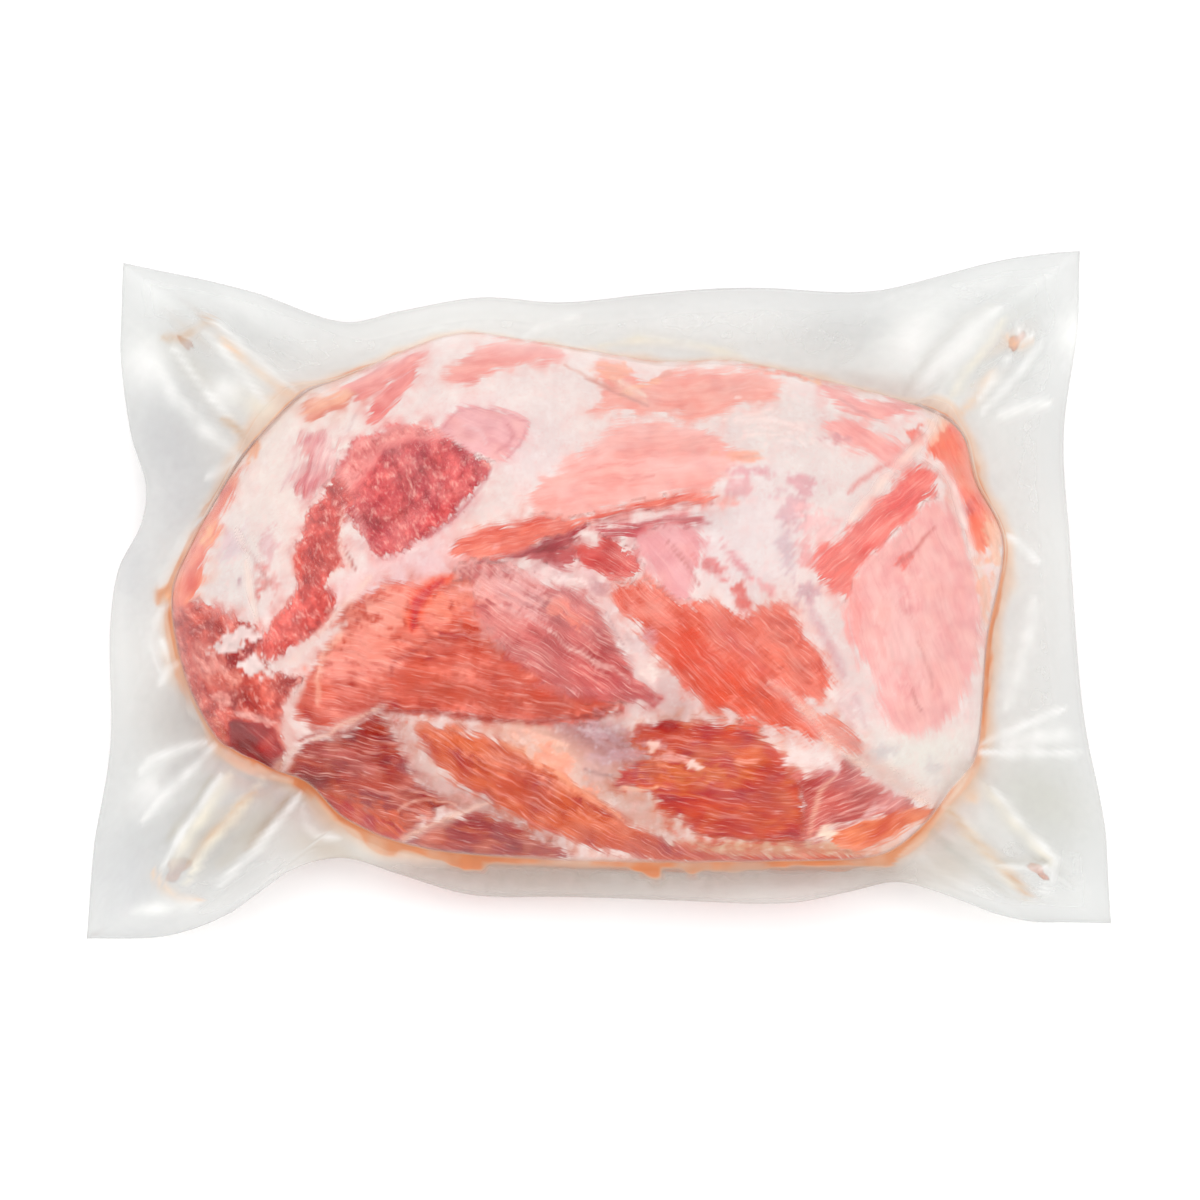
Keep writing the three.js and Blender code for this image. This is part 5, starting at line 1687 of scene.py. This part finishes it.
def meat_material():
    n = Nodes("raw_pork")
    fibre = n.attribute("fibre").outputs["Vector"]
    softness = n.split(fibre)[2]
    edge, cut, threaded = n.split(n.attribute("kind").outputs["Vector"])
    bundles = n.grain(n.scaled(fibre, BUNDLE_SCALE), 3, 0.58, flat=True)
    threads = n.grain(n.scaled(fibre, THREAD_SCALE), 1, 0.5, flat=True)
    muscle = feathered_muscle(n, bundles, threads, edge, softness)
    threaded = n.product(threaded, muscle)
    face = n.blend(muscle, n.attribute("fatty").outputs["Color"], n.attribute("lean").outputs["Color"])
    face = fibrous(n, face, bundles, threads, threaded, cut)
    face = flecked(n, face, n.inverse(muscle))
    bumps = n.product(bundles, threaded)
    bump = n.add("ShaderNodeBump", {"Strength": 0.6, "Distance": 0.0012, "Height": bumps})
    surface = n.add("ShaderNodeBsdfPrincipled", {
        "Base Color": face, "Roughness": 0.42, "Specular IOR Level": 0.15,
        "Normal": bump.outputs["Normal"]})
    return n.finish(surface.outputs[0])


GLOSS_LIMIT = 0.22  # the most that the film reflects at its turned edges
CLEAR_FILM = (0.985, 0.985, 0.98, 1.0)  # what clear film lets through
CLEAR_JUICE = (1.0, 0.95, 0.91, 1.0)
DARK_JUICE = (214, 104, 52)
PALE_JUICE = (252, 186, 140)
FLOOR_TONES = ((250, 250, 250), (252, 252, 252))


def film_material():
    n = Nodes("clear_film")
    veil = n.attribute("veil").outputs["Color"]
    milk = n.attribute("milk").outputs["Fac"]
    clear = n.add("ShaderNodeBsdfTransparent", {"Color": CLEAR_FILM})
    body = n.add("ShaderNodeBsdfDiffuse", {"Color": veil})
    film = n.add("ShaderNodeMixShader", {0: milk, 1: clear.outputs[0], 2: body.outputs[0]})
    gloss = n.add("ShaderNodeBsdfGlossy", {"Color": (1.0, 1.0, 1.0, 1.0), "Roughness": 0.14})
    facing = n.add("ShaderNodeFresnel", {"IOR": 1.27})
    shine = n.maths("MINIMUM", facing.outputs[0], GLOSS_LIMIT)
    both = n.add("ShaderNodeMixShader", {0: shine, 1: film.outputs[0], 2: gloss.outputs[0]})
    return n.finish(both.outputs[0])


def juice_material():
    n = Nodes("meat_juice")
    place = n.add("ShaderNodeTexCoord").outputs["Object"]
    cloud = n.grain(n.scaled(place, (60, 60, 60)), 2)
    tone = n.blend(cloud, rgba(DARK_JUICE), rgba(PALE_JUICE))
    body = n.add("ShaderNodeBsdfDiffuse", {"Color": tone})
    clear = n.add("ShaderNodeBsdfTransparent", {"Color": CLEAR_JUICE})
    cover = n.maths("MULTIPLY_ADD", cloud, 0.7, 0.35, clamp=True)
    both = n.add("ShaderNodeMixShader", {0: cover, 1: clear.outputs[0], 2: body.outputs[0]})
    return n.finish(both.outputs[0])


def floor_material():
    n = Nodes("pale_floor")
    place = n.add("ShaderNodeTexCoord").outputs["Object"]
    cloud = n.grain(n.scaled(place, (3, 3, 3)), 2)
    tone = n.blend(cloud, *(rgba(tone) for tone in FLOOR_TONES))
    surface = n.add("ShaderNodeBsdfPrincipled", {
        "Base Color": tone, "Roughness": 0.8, "Specular IOR Level": 0.1})
    return n.finish(surface.outputs[0])


# ---- Floor and lights ----

FLOOR_HALF = 3.0  # metres
FLOOR_LEVEL = -0.0003  # metres, just clear of the film
WORLD_LIGHT = 1.0
# Softboxes: name, place in metres, width, depth, power in watts
SOFTBOXES = (
    ("key_behind", (0.0, 1.1, 1.7), 1.8, 0.9, 8.0),
    ("front", (0.0, -1.7, 1.3), 1.8, 0.8, 10.0),
    ("fill_left", (-1.5, -0.6, 1.4), 0.9, 0.9, 4.0),
    ("fill_right", (1.5, -0.2, 1.4), 0.7, 0.9, 4.0))
LIGHT_TARGET = Vector((0.0, 0.0, 0.04))


def make_floor():
    sides = ((-1, -1), (1, -1), (1, 1), (-1, 1))
    corners = [(x * FLOOR_HALF, y * FLOOR_HALF, FLOOR_LEVEL) for x, y in sides]
    mesh = bpy.data.meshes.new("floor")
    mesh.from_pydata(corners, [], [(0, 1, 2, 3)])
    mesh.materials.append(floor_material())
    floor = bpy.data.objects.new("floor", mesh)
    bpy.context.scene.collection.objects.link(floor)


def make_world():
    world = bpy.data.worlds.new("studio")
    world.use_nodes = True
    world.node_tree.nodes["Background"].inputs["Color"].default_value = (1.0, 1.0, 1.0, 1.0)
    world.node_tree.nodes["Background"].inputs["Strength"].default_value = WORLD_LIGHT
    bpy.context.scene.world = world
    bpy.context.scene.view_settings.view_transform = "Standard"


def make_softbox(name, place, width, depth, power):
    light = bpy.data.lights.new(name, "AREA")
    light.shape = "RECTANGLE"
    light.size = width
    light.size_y = depth
    light.energy = power
    lamp = bpy.data.objects.new(name, light)
    lamp.location = place
    lamp.rotation_euler = (LIGHT_TARGET - Vector(place)).to_track_quat("-Z", "Y").to_euler()
    bpy.context.scene.collection.objects.link(lamp)


# ---- The whole ----


def dress(piece, material):
    piece.data.materials.append(material)
    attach(piece, "root")
    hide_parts("sealed_pack")


make_camera()
make_floor()
make_world()
for softbox in SOFTBOXES:
    make_softbox(*softbox)
dress(make_meat(), meat_material())
dress(make_juice(), juice_material())
dress(make_film(), film_material())
